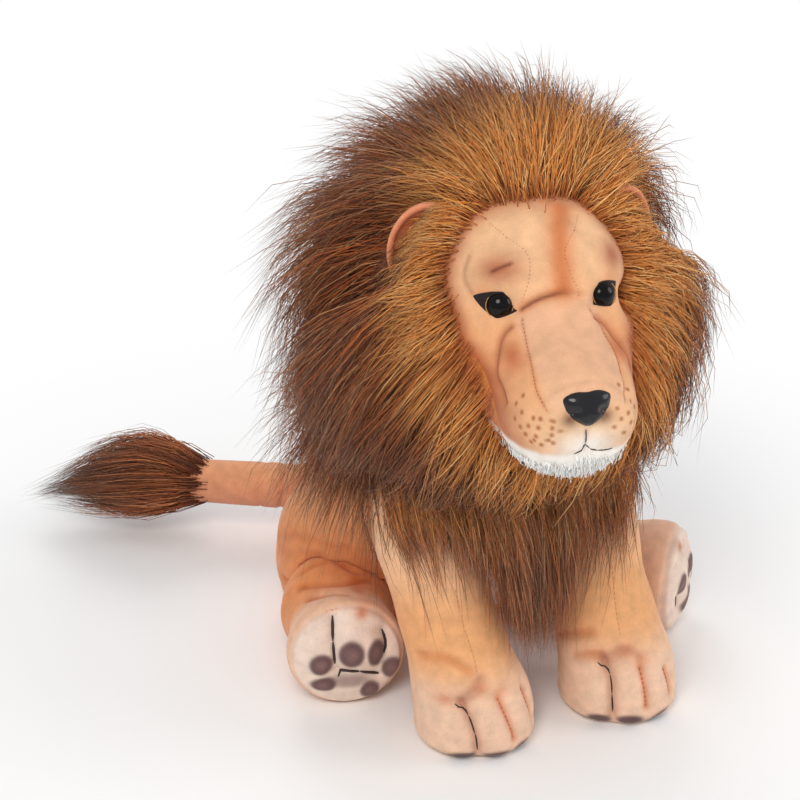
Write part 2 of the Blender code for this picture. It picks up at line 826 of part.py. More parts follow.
def mane_points(probe, around, ahead):
    # The inner point on the head and the outer point at the ends of the fur.
    middle = head_middle()
    ray = np.array((math.sin(ahead) * math.sin(around), -math.cos(ahead), math.sin(ahead) * math.cos(around)))
    place, _, _, distance = probe.ray_cast(Vector(on_head(middle)), Vector(head_direction(ray)))
    inside = distance * MANE_INNER_SHARE
    share = min((ahead - hairline(around)) / MANE_RISE_ANGLE, 1)
    grown = MANE_RIM_SHARE + (1 - MANE_RIM_SHARE) * math.sin(share * math.pi / 2)
    outside = distance + (mane_reach(middle, ray) - distance) * grown
    return on_head(middle + ray * inside), on_head(middle + ray * outside)


def mane_piece(name, probe, around_range, ahead_from, ahead_to, finish, cutters):
    outer = []
    inner = []
    for around in np.linspace(around_range[0] + MANE_SPLIT, around_range[1] - MANE_SPLIT, MANE_CELLS + 1):
        outer_row = []
        inner_row = []
        for share in np.linspace(0, 1, MANE_RINGS):
            start = ahead_from(around)
            ahead = start + (ahead_to(around) - start) * share
            near, far = mane_points(probe, around, ahead)
            inner_row.append(near)
            outer_row.append(far)
        outer.append(outer_row)
        inner.append(inner_row)
    piece = block(name, np.array(outer), np.array(inner), finish)
    cut(piece, cutters)


def make_head_mane(probe, head_room, under_head, pockets):
    sectors = (
        ("crown", -CROWN_HALF_ANGLE, CROWN_HALF_ANGLE, [head_room] + list(pockets.values())),
        ("left", CROWN_HALF_ANGLE, CHEEK_ANGLE, [head_room, pockets["left"], under_head]),
        ("right", -CHEEK_ANGLE, -CROWN_HALF_ANGLE, [head_room, pockets["right"], under_head]),
        ("under", CHEEK_ANGLE, math.tau - CHEEK_ANGLE, [head_room, under_head]),
    )

    def ruff_end(around):
        return hairline(around) + RUFF_WIDTH

    def back_start(around):
        return ruff_end(around) + MANE_SPLIT + MANE_SPLIT

    def back_end(_):
        return BACK_END

    for name, start, end, cutters in sectors:
        mane_piece("mane_front_" + name, probe, (start, end), hairline, ruff_end, golden_fur, cutters)
        mane_piece("mane_back_" + name, probe, (start, end), back_start, back_end, dark_fur, cutters)


def make_nape(probe, head_room, under_head):
    outer = []
    inner = []
    for ahead in np.linspace(BACK_END + MANE_SPLIT + MANE_SPLIT, NAPE_POLE, NAPE_RINGS):
        pairs = [mane_points(probe, around, ahead)
                 for around in np.linspace(0, math.tau, LIMB_SIDES, endpoint=False)]
        inner.append([near for near, _ in pairs])
        outer.append([far for _, far in pairs])
    nape = shell("mane_back_nape", np.array(outer), np.array(inner), True, False, dark_fur)
    cut(nape, [head_room, under_head])


def collar_points(probe, angle, share):
    # Angle from straight back; share runs from the top of the collar to its bottom.
    ray = np.array((math.sin(angle), math.cos(angle), 0.0))
    axis = BACKWARD * (COLLAR_SETBACK - BODY_LEAN)
    points = []
    for radius_share in (0, 1):
        reach = BODY_HALF_DEPTH + (COLLAR_RADIUS - BODY_HALF_DEPTH) * radius_share
        start = axis + ray * reach
        from_neck = np.linalg.norm(start[:2] - NECK[:2])
        top = NECK_HEIGHT - from_neck * math.tan(COLLAR_SLOPE)
        height = top + (NECK_HEIGHT - COLLAR_DROP - top) * share
        if radius_share:
            bulge = 1 - (1 - COLLAR_BOTTOM_SHARE) * share * share
            points.append(axis + ray * reach * bulge + UPWARD * height)
        else:
            inside = axis + UPWARD * height
            _, _, _, distance = probe.ray_cast(Vector(inside), Vector(ray))
            points.append(axis + ray * distance * COLLAR_INNER_SHARE + UPWARD * height)
    return points


def make_collar(probe, clearance):
    for name, side in SIDES:
        outer = []
        inner = []
        for angle in np.linspace(MANE_SPLIT, COLLAR_FRONT, COLLAR_CELLS + 1):
            pairs = [collar_points(probe, side * angle, share) for share in np.linspace(0, 1, COLLAR_ROWS)]
            inner.append([near for near, _ in pairs])
            outer.append([far for _, far in pairs])
        collar = block("mane_collar_" + name, np.array(outer), np.array(inner), dark_fur)
        cut(collar, [clearance])


def make_bib(probe):
    rings = []
    for share in np.linspace(0, 1, BIB_RINGS):
        height = NECK_HEIGHT - BIB_DROP - BIB_LENGTH * share
        ahead = np.array((0.0, -BODY_LEAN - BODY_HEIGHT, height))
        chest, _, _, _ = probe.ray_cast(Vector(ahead), Vector(BACKWARD))
        back = -chest.y + FUR_GAP + CLOTH + FUR_GAP
        taper = BIB_TIP_SHARE + (1 - BIB_TIP_SHARE) * math.sqrt(1 - share * share)
        half_depth = BIB_DEPTH * taper / 2
        centre = np.array((0.0, -back - half_depth, height))
        rings.append(oval(centre, ACROSS, BACKWARD, BIB_HALF_WIDTH * taper, half_depth, ROUND, LIMB_SIDES))
    solid("mane_bib", np.array(rings), dark_fur)


def make_front_leg(side_name, side):
    outer = floor_at(front_leg_rings(side), 0)
    shell("front_leg_skin_" + side_name, outer, inset(outer, CLOTH, flat_last=True), False, True, short_pile)
    filling = inset(outer, CLOTH + SEAM_GAP, flat_last=True)
    edge = filling[-1].copy()
    solid("front_sole_" + side_name, np.array((edge, edge + UPWARD * CLOTH)), pale_pile)
    filling[-1] += UPWARD * (CLOTH + SEAM_GAP)
    # The ring next to the sole would lie lower than the raised end ring.
    filling = np.delete(filling, -2, axis=0)
    solid("front_leg_stuffing_" + side_name, filling, fibre_fill)


def make_hind_leg(side_name, side):
    outer = hind_leg_rings(side)
    direction = hind_leg_direction(side)
    skin_inner = inset(outer, CLOTH, flat_last=True)
    shell("hind_leg_skin_" + side_name, floor_at(outer, 0), floor_at(skin_inner, CLOTH), False, True,
          short_pile)
    fill_depth = CLOTH + SEAM_GAP
    filling = inset(outer, fill_depth, flat_last=True)
    filling[-1] -= direction * fill_depth
    solid("hind_leg_stuffing_" + side_name, floor_at(filling, fill_depth), fibre_fill)
    edge = floor_at(inset(outer, fill_depth, flat_last=True), fill_depth)[-1]
    solid("hind_sole_" + side_name, np.array((edge, edge - direction * CLOTH)), pale_pile)


def make_tail(socket):
    pivot = tail_pivot()
    direction = tail_direction()
    across, upward = square_to(direction)
    ball("tail_root_stuffing", pivot, TAIL_ROOT_RADIUS, short_pile)
    rings = []
    for share in np.linspace(0, 1, TAIL_RINGS):
        radius = TAIL_ROOT_RADIUS * (1 + (TAIL_TIP_RADIUS_SHARE - 1) * share)
        rings.append(circle(pivot + direction * TAIL_LENGTH * share, across, upward, radius, LIMB_SIDES))
    outer = np.array(rings)
    skin = shell("tail_skin", outer, inset(outer, CLOTH, True, True), True, True, short_pile)
    stuffing = solid("tail_stuffing", inset(outer, CLOTH + SEAM_GAP, True, True), fibre_fill)
    cut(skin, [socket])
    cut(stuffing, [socket])
    rings = []
    for distance, radius in TUFT_SHARES:
        place = pivot + direction * (TAIL_LENGTH + SEAM_GAP + TUFT_LENGTH * distance)
        place = place + UPWARD * TUFT_LIFT * math.sin(distance * math.pi / 2)
        rings.append(circle(place, across, upward, TUFT_RADIUS * radius, LIMB_SIDES))
    solid("tail_tuft", np.array(rings), dark_fur)


def hang(name, place, first_words):
    # The pieces and cutters of a moving group turn about the empty at its joint.
    pivot = bpy.data.objects.new(name, None)
    pivot.location = place
    bpy.context.scene.collection.objects.link(pivot)
    for piece in list(bpy.data.objects):
        if piece.type == "MESH" and piece.name.startswith(first_words):
            piece.parent = pivot
            piece.matrix_parent_inverse = Matrix.Translation(-Vector(place))


def build_lion():
    clear_scene()
    neck = neck_socket()
    tail = as_cutter(ball("tail_socket", tail_pivot(), TAIL_ROOT_RADIUS + JOINT_GAP))
    sockets = [neck, tail]
    for name, side in SIDES:
        sockets += limb_sockets(name, side)
    make_body(sockets)
    make_belly_panel()
    make_neck()
    clearance = head_clearance()
    face = surface_of(head_rings())
    face_cutters = []
    stuffing_cutters = []
    for name, side in SIDES:
        make_eye(name, side, face, face_cutters, stuffing_cutters)
    make_nose(face, clearance, face_cutters, stuffing_cutters)
    make_head(face_cutters, stuffing_cutters, neck)
    make_chin(clearance)
    pockets = {}
    for name, side in SIDES:
        make_ear(name, side, clearance)
        pockets[name] = ear_pocket(name, side)
    under_head = neck_clearance()
    make_head_mane(face, clearance, under_head, pockets)
    make_nape(face, clearance, under_head)
    trunk = surface_of(body_rings())
    body_clearance = as_cutter(solid("body_clearance", inset(body_rings(), -FUR_GAP, True, True)))
    make_collar(trunk, body_clearance)
    make_bib(trunk)
    for name, side in SIDES:
        make_front_leg(name, side)
        make_hind_leg(name, side)
    make_tail(tail)
    hang("neck_turn_pivot", NECK, ("neck_stuffing", "neck_socket"))
    hang("head_nod_pivot", NECK, ("head_", "eye", "nose", "chin", "ear_", "mane_front", "mane_back"))
    for name, side in SIDES:
        hang("shoulder_pivot_" + name, shoulder(side), ("front_leg_skin_" + name,
                                                        "front_leg_stuffing_" + name,
                                                        "front_sole_" + name))
        hang("hip_pivot_" + name, hip(side), ("hind_leg_skin_" + name, "hind_leg_stuffing_" + name,
                                              "hind_sole_" + name))
    hang("tail_swing_pivot", tail_pivot(), ("tail_root", "tail_socket"))
    hang("tail_lift_pivot", tail_pivot(), ("tail_skin", "tail_stuffing", "tail_tuft"))


build_lion()
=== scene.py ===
import math

import bmesh
import bpy
import numpy as np
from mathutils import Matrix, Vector
from mathutils.bvhtree import BVHTree


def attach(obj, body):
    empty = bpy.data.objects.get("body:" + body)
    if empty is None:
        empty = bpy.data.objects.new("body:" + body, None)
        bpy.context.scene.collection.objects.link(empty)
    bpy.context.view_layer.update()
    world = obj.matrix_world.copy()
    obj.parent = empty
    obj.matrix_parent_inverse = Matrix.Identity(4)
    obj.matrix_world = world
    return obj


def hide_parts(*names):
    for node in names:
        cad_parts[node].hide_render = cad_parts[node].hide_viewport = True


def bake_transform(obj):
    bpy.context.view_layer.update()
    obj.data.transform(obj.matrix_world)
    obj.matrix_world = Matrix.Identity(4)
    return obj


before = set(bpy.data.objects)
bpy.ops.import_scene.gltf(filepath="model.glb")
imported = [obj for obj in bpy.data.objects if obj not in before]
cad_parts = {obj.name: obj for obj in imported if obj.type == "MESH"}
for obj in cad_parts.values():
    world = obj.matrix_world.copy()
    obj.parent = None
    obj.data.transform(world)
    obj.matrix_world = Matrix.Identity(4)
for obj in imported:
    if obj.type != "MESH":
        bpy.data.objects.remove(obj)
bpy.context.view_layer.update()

# The camera stands in front of the lion and to its right, a little above it.
# It frames the whole toy with its tail, as a product picture does.
CAMERA_AZIMUTH = math.radians(24.5)
CAMERA_ELEVATION = math.radians(26)
CAMERA_DISTANCE = 1.150
CAMERA_TARGET = Vector((-0.0325, -0.0579, 0.150))
camera_back = Vector((
    -math.sin(CAMERA_AZIMUTH) * math.cos(CAMERA_ELEVATION),
    -math.cos(CAMERA_AZIMUTH) * math.cos(CAMERA_ELEVATION),
    math.sin(CAMERA_ELEVATION)))
lens = bpy.data.cameras.new("product_camera")
lens.sensor_width = 36
lens.lens = 103.5
camera = bpy.data.objects.new("product_camera", lens)
camera.location = CAMERA_TARGET + camera_back * CAMERA_DISTANCE
camera.rotation_euler = camera_back.to_track_quat("Z", "Y").to_euler()
bpy.context.scene.collection.objects.link(camera)
bpy.context.scene.camera = camera
bpy.context.scene.view_settings.view_transform = "Standard"

# The room is a white studio: a pale floor, white all round, and three large soft lamps.
# The floor keeps the lion's soft shadow and turns plain white further out.
FLOOR_HALF_WIDTH = 3.0
FLOOR_DROP = 0.0006
SHADOW_START = 0.16
SHADOW_END = 0.42
FLOOR_WHITE = (0.97, 0.97, 0.97, 1)
ROOM_GLOW = (0.96, 0.98, 1.0, 1)
ROOM_STRENGTH = 0.57


def dye(red, green, blue):
    """A colour as the shader wants it, from its screen values out of 255."""
    screen = np.array((red, green, blue)) / 255
    return np.where(screen <= 0.04045, screen / 12.92, ((screen + 0.055) / 1.055) ** 2.4)


floor_sheet = bmesh.new()
bmesh.ops.create_grid(floor_sheet, x_segments=1, y_segments=1, size=FLOOR_HALF_WIDTH)
bmesh.ops.translate(floor_sheet, verts=floor_sheet.verts, vec=(0, 0, -FLOOR_DROP))
floor_mesh = bpy.data.meshes.new("studio_floor")
floor_sheet.to_mesh(floor_mesh)
floor_sheet.free()
studio_floor = bpy.data.objects.new("studio_floor", floor_mesh)
bpy.context.scene.collection.objects.link(studio_floor)


def new_finish(name, settings):
    """A new material whose main shader has the given settings: itself, its node tree and that shader."""
    made = bpy.data.materials.new(name)
    made.use_nodes = True
    shader = made.node_tree.nodes["Principled BSDF"]
    for setting, value in settings.items():
        shader.inputs[setting].default_value = value
    return made, made.node_tree, shader


def add_node(tree, kind, settings=None):
    node = tree.nodes.new("ShaderNode" + kind)
    for setting, value in (settings or {}).items():
        node.inputs[setting].default_value = value
    return node


def join(tree, source, output, target, socket):
    tree.links.new(source.outputs[output], target.inputs[socket])


def white_floor():
    made, tree, paint = new_finish("white_floor", {"Base Color": FLOOR_WHITE, "Roughness": 0.9})
    place = add_node(tree, "TexCoord")
    reach = add_node(tree, "VectorMath")
    reach.operation = "LENGTH"
    join(tree, place, "Object", reach, 0)
    fade = add_node(tree, "MapRange", {"From Min": SHADOW_START, "From Max": SHADOW_END})
    fade.interpolation_type = "SMOOTHSTEP"
    join(tree, reach, "Value", fade, "Value")
    seen = add_node(tree, "LightPath")
    share = add_node(tree, "Math")
    share.operation = "MULTIPLY"
    join(tree, fade, "Result", share, 0)
    join(tree, seen, "Is Camera Ray", share, 1)
    white = add_node(tree, "Emission")
    blend = add_node(tree, "MixShader")
    join(tree, share, "Value", blend, "Fac")
    join(tree, paint, "BSDF", blend, 1)
    join(tree, white, "Emission", blend, 2)
    join(tree, blend, "Shader", tree.nodes["Material Output"], "Surface")
    return made


floor_mesh.materials.append(white_floor())

room = bpy.data.worlds.new("white_room")
bpy.context.scene.world = room
room.use_nodes = True
room_tree = room.node_tree
room_glow = room_tree.nodes["Background"]
room_glow.inputs["Color"].default_value = ROOM_GLOW
room_glow.inputs["Strength"].default_value = ROOM_STRENGTH
room_white = add_node(room_tree, "Background", {"Color": (1, 1, 1, 1)})
room_path = add_node(room_tree, "LightPath")
room_blend = add_node(room_tree, "MixShader")
join(room_tree, room_path, "Is Camera Ray", room_blend, "Fac")
join(room_tree, room_glow, "Background", room_blend, 1)
join(room_tree, room_white, "Background", room_blend, 2)
join(room_tree, room_blend, "Shader", room_tree.nodes["World Output"], "Surface")


def soft_lamp(name, place, size, power, colour):
    lamp = bpy.data.lights.new(name, "AREA")
    lamp.shape = "DISK"
    lamp.size = size
    lamp.energy = power
    lamp.color = colour
    made = bpy.data.objects.new(name, lamp)
    made.location = place
    made.rotation_euler = (Vector(place) - CAMERA_TARGET).to_track_quat("Z", "Y").to_euler()
    bpy.context.scene.collection.objects.link(made)


soft_lamp("key_lamp", (-0.75, -0.95, 1.25), 0.7, 10.6, (1.0, 0.97, 0.93))
soft_lamp("side_lamp", (1.15, -0.70, 0.75), 0.8, 4.8, (1.0, 0.98, 0.96))
soft_lamp("back_lamp", (0.25, 1.20, 1.00), 0.8, 5.5, (1.0, 1.0, 1.0))

# The front legs are tubes of orange plush with a round top, stuffed and sewn to the chest.
# Each ends in a pale paw, pinched into toes by pulled thread, on a flat sole with dark pads.
WELD = 0.000002
SHOULDER_SIDE = 0.044
SHOULDER_BACK = -0.106
SHOULDER_HEIGHT = 0.116
LEG_HALF_WIDTH = 0.027
PAW_HALF_LENGTH = 0.0305
PAW_FORWARD = {"right": 0.031, "left": 0.034}
PAW_ACROSS = {"right": 0.016, "left": 0.008}
LEG_DOME_STEPS = 6
LEG_DOME_SHARE = 0.18
LEG_SOLE_SHARE = 0.90
# Height, forward step, half width and half length of the leg, from under the shoulder to the floor
LEG_RUN_SHARES = (
    (0.86, 0.12, 0.98, 0.86),
    (0.70, 0.30, 0.93, 0.84),
    (0.54, 0.50, 0.92, 0.82),
    (0.38, 0.72, 0.98, 0.88),
    (0.22, 0.93, 1.08, 0.98),
    (0.10, 1.00, 1.11, 1.00),
    (0.02, 1.00, 1.02, 0.92),
    (0.00, 1.00, 0.90, 0.80),
)
PEACH = dye(236, 172, 118)
ORANGE = dye(224, 142, 88)
CREAM = dye(238, 198, 170)
BLUSH = dye(205, 112, 66)
PAD_BROWN = dye(100, 72, 74)
DARK_THREAD = dye(48, 30, 24)
RUST_THREAD = dye(198, 104, 58)
SEAM_THREAD = dye(214, 150, 96)
CREASE_SHADE = dye(190, 128, 100)
SHOULDER_PEACH = dye(246, 196, 156)
FOLD_SHADE = dye(208, 124, 70)


def smooth_run(table, share):
    """Smooth values between the rows of a table whose first column says how far along each row is."""
    rows = np.array(table)
    knots = rows[:, 0]
    slopes = np.gradient(rows[:, 1:], knots, axis=0)
    row = np.clip(np.searchsorted(knots, share, side="right") - 1, 0, len(knots) - 2)
    span = (knots[row + 1] - knots[row])[:, None]
    step = (share - knots[row])[:, None] / span
    return ((1 + 2 * step) * (1 - step) ** 2 * rows[row, 1:]
            + step * (1 - step) ** 2 * span * slopes[row]
            + step ** 2 * (3 - 2 * step) * rows[row + 1, 1:]
            + step ** 2 * (step - 1) * span * slopes[row + 1])


def rolled(name, around, along, place_of):
    """A sheet rolled up and closed at both ends. place_of gives each point's place from its two shares."""
    sheet = bmesh.new()
    bmesh.ops.create_grid(sheet, x_segments=around, y_segments=along, size=0.5)
    shares = np.array([corner.co[:2] for corner in sheet.verts]) + 0.5
    for corner, place in zip(sheet.verts, place_of(shares[:, 0], shares[:, 1])):
        corner.co = place
    bmesh.ops.remove_doubles(sheet, verts=sheet.verts, dist=WELD)
    bmesh.ops.recalc_face_normals(sheet, faces=sheet.faces)
    return placed(name, sheet)


def placed(name, sheet):
    mesh = bpy.data.meshes.new(name)
    sheet.to_mesh(mesh)
    sheet.free()
    mesh.shade_smooth()
    made = bpy.data.objects.new(name, mesh)
    bpy.context.scene.collection.objects.link(made)
    return made


def places_of(made):
    found = np.empty(len(made.data.vertices) * 3, np.float32)
    made.data.vertices.foreach_get("co", found)
    return found.reshape(-1, 3).astype(float)


def normals_of(made):
    found = np.empty(len(made.data.vertices) * 3, np.float32)
    made.data.vertex_normals.foreach_get("vector", found)
    return found.reshape(-1, 3).astype(float)


def move_to(made, places):
    made.data.vertices.foreach_set("co", places.astype(np.float32).ravel())
    made.data.update()


def tree_of(made):
    return BVHTree.FromPolygons([corner.co for corner in made.data.vertices],
                                [face.vertices for face in made.data.polygons])


uncreased = {}


def swell(places, centre, radii):
    """How strongly each place lies in a soft round patch, from 0 to 1."""
    return np.exp(-(((places - centre) / radii) ** 2).sum(axis=1))


def smooth_route(points, count=40):
    points = np.array(points, float)
    steps = np.concatenate(((0,), np.cumsum(np.linalg.norm(np.diff(points, axis=0), axis=1))))
    if len(points) == 2:
        return points[0] + np.linspace(0, 1, count)[:, None] * (points[1] - points[0])
    return smooth_run(np.column_stack((steps, points)), np.linspace(0, steps[-1], count))


def distance_to(places, route):
    """Each place's distance to the nearest point of a route."""
    nearest = np.full(len(places), np.inf)
    for start, end in zip(route[:-1], route[1:]):
        run = end - start
        along = np.clip((places - start) @ run / (run @ run), 0, 1)
        nearest = np.minimum(nearest, np.linalg.norm(places - start - along[:, None] * run, axis=1))
    return nearest


def before_creases(made):
    """The cloth as it was before its first crease: its surface, places and normals."""
    if made.name not in uncreased:
        uncreased[made.name] = tree_of(made), places_of(made), normals_of(made)
    return uncreased[made.name]


def on_cloth(made, points):
    """A smooth route through points, brought onto the cloth."""
    cloth = before_creases(made)[0]
    return np.array([cloth.find_nearest(Vector(place))[0] for place in smooth_route(points)])


def crease(made, points, width, depth):
    """Draws the cloth in along a sewn line."""
    _, places, normals = before_creases(made)
    closeness = np.exp(-(distance_to(places, on_cloth(made, points)) / width) ** 2)
    move_to(made, places_of(made) - normals * (closeness * depth)[:, None])


def sprayed(colours, strength, colour):
    """Colour laid over what is there: airbrushed dye, and painted light and shade alike."""
    strength = np.clip(strength, 0, 1)[:, None]
    return colours * (1 - strength) + colour * strength


def lined(made, colours, points, width, strength, colour):
    """Colour laid along a route over the cloth, as it lay before its creases: airbrushed dye and painted
    crease shade alike.
    """
    apart = distance_to(before_creases(made)[1], on_cloth(made, points))
    return sprayed(colours, strength * np.exp(-(apart / width) ** 2), colour)


def beyond(value, edge, softness):
    """1 beyond an edge and 0 before it, with a soft change between."""
    return 1 / (1 + np.exp((edge - value) / softness))


def short_of(value, edge, softness):
    return beyond(-value, -edge, softness)


def tint(made, colours):
    layer = made.data.attributes.new("tint", "FLOAT_COLOR", "POINT")
    with_alpha = np.column_stack((colours, np.ones(len(colours))))
    layer.data.foreach_set("color", with_alpha.astype(np.float32).ravel())


def grain_on(tree, scale, detail=2.0):
    """A fine uneven pattern that is fixed to the piece."""
    place = add_node(tree, "TexCoord")
    grain = add_node(tree, "TexNoise", {"Scale": scale, "Detail": detail})
    join(tree, place, "Object", grain, "Vector")
    return grain


def uneven_dye(tree, shader, source, output, levels):
    """The piece's own dye, made lighter and darker by a pattern between two levels."""
    own = add_node(tree, "Attribute")
    own.attribute_name = "tint"
    level = add_node(tree, "MapRange", levels)
    join(tree, source, output, level, "Value")
    shade = add_node(tree, "VectorMath")
    shade.operation = "SCALE"
    join(tree, own, "Color", shade, 0)
    join(tree, level, "Result", shade, "Scale")
    join(tree, shade, "Vector", shader, "Base Color")


def raised_nap(tree, shader, grain, strength, height):
    nap = add_node(tree, "Bump", {"Strength": strength, "Distance": height})
    join(tree, grain, "Fac", nap, "Height")
    join(tree, nap, "Normal", shader, "Normal")


def plush_cloth(name, grain_scale=1500.0, mottle_scale=160.0):
    """Short velvet pile: the piece's own dye, uneven in patches, with the fine grain of the cut fibres."""
    made, tree, cloth = new_finish(name, {
        "Roughness": 0.85,
        "Specular IOR Level": 0.25,
        "Sheen Weight": 0.22,
        "Sheen Roughness": 0.45,
        "Sheen Tint": (1.0, 0.86, 0.74, 1),
    })
    grain = grain_on(tree, grain_scale)
    mottle = grain_on(tree, mottle_scale, 3.0)
    uneven = add_node(tree, "Math")
    uneven.operation = "MULTIPLY_ADD"
    uneven.inputs[1].default_value = 0.55
    join(tree, grain, "Fac", uneven, 0)
    join(tree, mottle, "Fac", uneven, 2)
    uneven_dye(tree, cloth, uneven, "Value", {"From Min": 0.35, "From Max": 1.20, "To Min": 0.78,
                                              "To Max": 1.16})
    raised_nap(tree, cloth, grain, 0.35, 0.0004)
    return made


def front_leg_run(side_name, side):
    """Rows of how far along, height, middle across, middle forward, half width and half length."""
    across = side * SHOULDER_SIDE
    rows = []
    for angle in np.linspace(0, math.pi / 2, LEG_DOME_STEPS, endpoint=False):
        reach = LEG_HALF_WIDTH * math.sin(angle)
        rows.append((LEG_DOME_SHARE * 2 * angle / math.pi,
                     SHOULDER_HEIGHT + LEG_HALF_WIDTH * math.cos(angle),
                     across, SHOULDER_BACK, reach, reach))
    rows.append((LEG_DOME_SHARE, SHOULDER_HEIGHT, across, SHOULDER_BACK, LEG_HALF_WIDTH, LEG_HALF_WIDTH))
    for height, forward, width, length in LEG_RUN_SHARES:
        share = LEG_DOME_SHARE + (LEG_SOLE_SHARE - LEG_DOME_SHARE) * (1 - height)
        rows.append((share, SHOULDER_HEIGHT * height, across + PAW_ACROSS[side_name] * forward,
                     SHOULDER_BACK - PAW_FORWARD[side_name] * forward, LEG_HALF_WIDTH * width,
                     PAW_HALF_LENGTH * length))
    return rows


def ring_point(turn_share, half_across, half_up, roundness):
    angle = turn_share * math.tau
    across = np.sign(np.cos(angle)) * np.abs(np.cos(angle)) ** (2 / roundness) * half_across
    upward = np.sign(np.sin(angle)) * np.abs(np.sin(angle)) ** (2 / roundness) * half_up
    return across, upward


def front_leg_place(side_name, side):
    run = front_leg_run(side_name, side)

    def place_of(turn_share, share):
        row = smooth_run(run, np.minimum(share, LEG_SOLE_SHARE))
        closing = np.clip((1 - share) / (1 - LEG_SOLE_SHARE), 0, 1)
        across, forward = ring_point(turn_share, row[:, 3] * closing, row[:, 4] * closing, 2)
        return np.column_stack((row[:, 1] + across, row[:, 2] + forward, row[:, 0]))

    return place_of


# Where the pulled threads and sewn seams of each paw run, on its front
PAW_THREAD = {
    "right": ((-0.0454, -0.1564, 0.0326), (-0.0423, -0.1613, 0.0239), (-0.0400, -0.1640, 0.0130),
              (-0.0386, -0.1632, 0.0036)),
    "left": ((0.0336, -0.1554, 0.0359), (0.0353, -0.1599, 0.0293), (0.0353, -0.1634, 0.0167),
             (0.0360, -0.1637, 0.0060)),
}
PAW_STITCHES = {
    "right": (((-0.0258, -0.1607, 0.0330), (-0.0225, -0.1640, 0.0200), (-0.0193, -0.1651, 0.0093)),
              ((-0.0085, -0.1520, 0.0290), (-0.0040, -0.1560, 0.0140))),
    "left": (((0.0514, -0.1646, 0.0320), (0.0522, -0.1690, 0.0200), (0.0527, -0.1701, 0.0110)),
             ((0.0683, -0.1623, 0.0260), (0.0698, -0.1634, 0.0120))),
}
PAW_KNUCKLE = {
    "right": ((-0.0448, -0.1564, 0.0326), (-0.0376, -0.1569, 0.0384), (-0.0343, -0.1556, 0.0425)),
    "left": ((0.0349, -0.1561, 0.0360), (0.0448, -0.1582, 0.0405), (0.0521, -0.1608, 0.0371)),
}
PAW_BLUSHES = {
    "right": ((-0.0511, -0.1514, 0.0330), (-0.0352, -0.1575, 0.0381), (-0.0240, -0.1610, 0.0350)),
    "left": ((0.0448, -0.1582, 0.0400), (0.0309, -0.1530, 0.0370), (0.0520, -0.1620, 0.0340)),
}
PAW_PADS = {
    "right": ((-0.0450, -0.1585, 0.0020), (-0.0290, -0.1655, 0.0022), (-0.0130, -0.1620, 0.0022)),
    "left": ((0.0300, -0.1600, 0.0030), (0.0440, -0.1680, 0.0040), (0.0610, -0.1650, 0.0030)),
}
LEG_SEAM = {
    "right": ((-0.0401, -0.1396, 0.0859), (-0.0387, -0.1437, 0.0710), (-0.0358, -0.1492, 0.0563),
              (-0.0349, -0.1544, 0.0448)),
    "left": ((0.0450, -0.1420, 0.0800), (0.0444, -0.1471, 0.0634), (0.0438, -0.1545, 0.0474)),
}
LEG_FOLDS = {
    "right": (((-0.0574, -0.1361, 0.0516), (-0.0467, -0.1474, 0.0524), (-0.0385, -0.1529, 0.0466)),),
    "left": (((0.0236, -0.1296, 0.0402), (0.0308, -0.1472, 0.0483)),
             ((0.0247, -0.1438, 0.0345), (0.0332, -0.1539, 0.0381))),
}
PAW_COLOUR_TOP = 0.040
PAW_COLOUR_FADE = 0.012
LEG_LUMPS = 0.0004
STITCH_SIDES = 6
STITCH_STEPS = 4
SEW_REACH = 0.006


def eased(points, times):
    """Evens out a run of points, its ends kept."""
    for _ in range(times):
        points = np.concatenate((points[:1], (points[:-2] + 2 * points[1:-1] + points[2:]) / 4, points[-1:]))
    return points


def stitches(name, made, routes, stitch, gap, radius, colour):
    """Sewn thread: short rounded stitches drawn straight over the cloth along each route."""
    cloth = tree_of(made)
    smooth_cloth = before_creases(made)[0]
    thread = bmesh.new()
    for points in routes:
        found = [smooth_cloth.find_nearest(Vector(place)) for place in smooth_route(points, 60)]
        route = np.array([hit[0] for hit in found])
        normals = eased(np.array([hit[1] for hit in found]), 24)
        normals /= np.linalg.norm(normals, axis=1, keepdims=True)
        seats = []
        for place, normal in zip(route, normals):
            hit, _, _, _ = cloth.ray_cast(Vector(place + normal * SEW_REACH), Vector(-normal), 2 * SEW_REACH)
            seats.append(hit or cloth.find_nearest(Vector(place))[0])
        seats = eased(np.array(seats), 6)
        run = np.concatenate(((0,), np.cumsum(np.linalg.norm(np.diff(seats, axis=0), axis=1))))
        start = 0.0
        while start + stitch * 0.5 <= run[-1]:
            spots = np.linspace(start, min(start + stitch, run[-1]), STITCH_STEPS + 1)
            path = [tuple(Vector([np.interp(spot, run, values[:, axis]) for axis in range(3)])
                          for values in (seats, normals)) for spot in spots]
            lay_stitch(thread, path, radius)
            start += stitch + gap
    bmesh.ops.recalc_face_normals(thread, faces=thread.faces)
    sewn = placed(name, thread)
    tint(sewn, np.tile(colour, (len(sewn.data.vertices), 1)))
    sewn.data.materials.append(thread_finish(name + "_thread"))
    return sewn


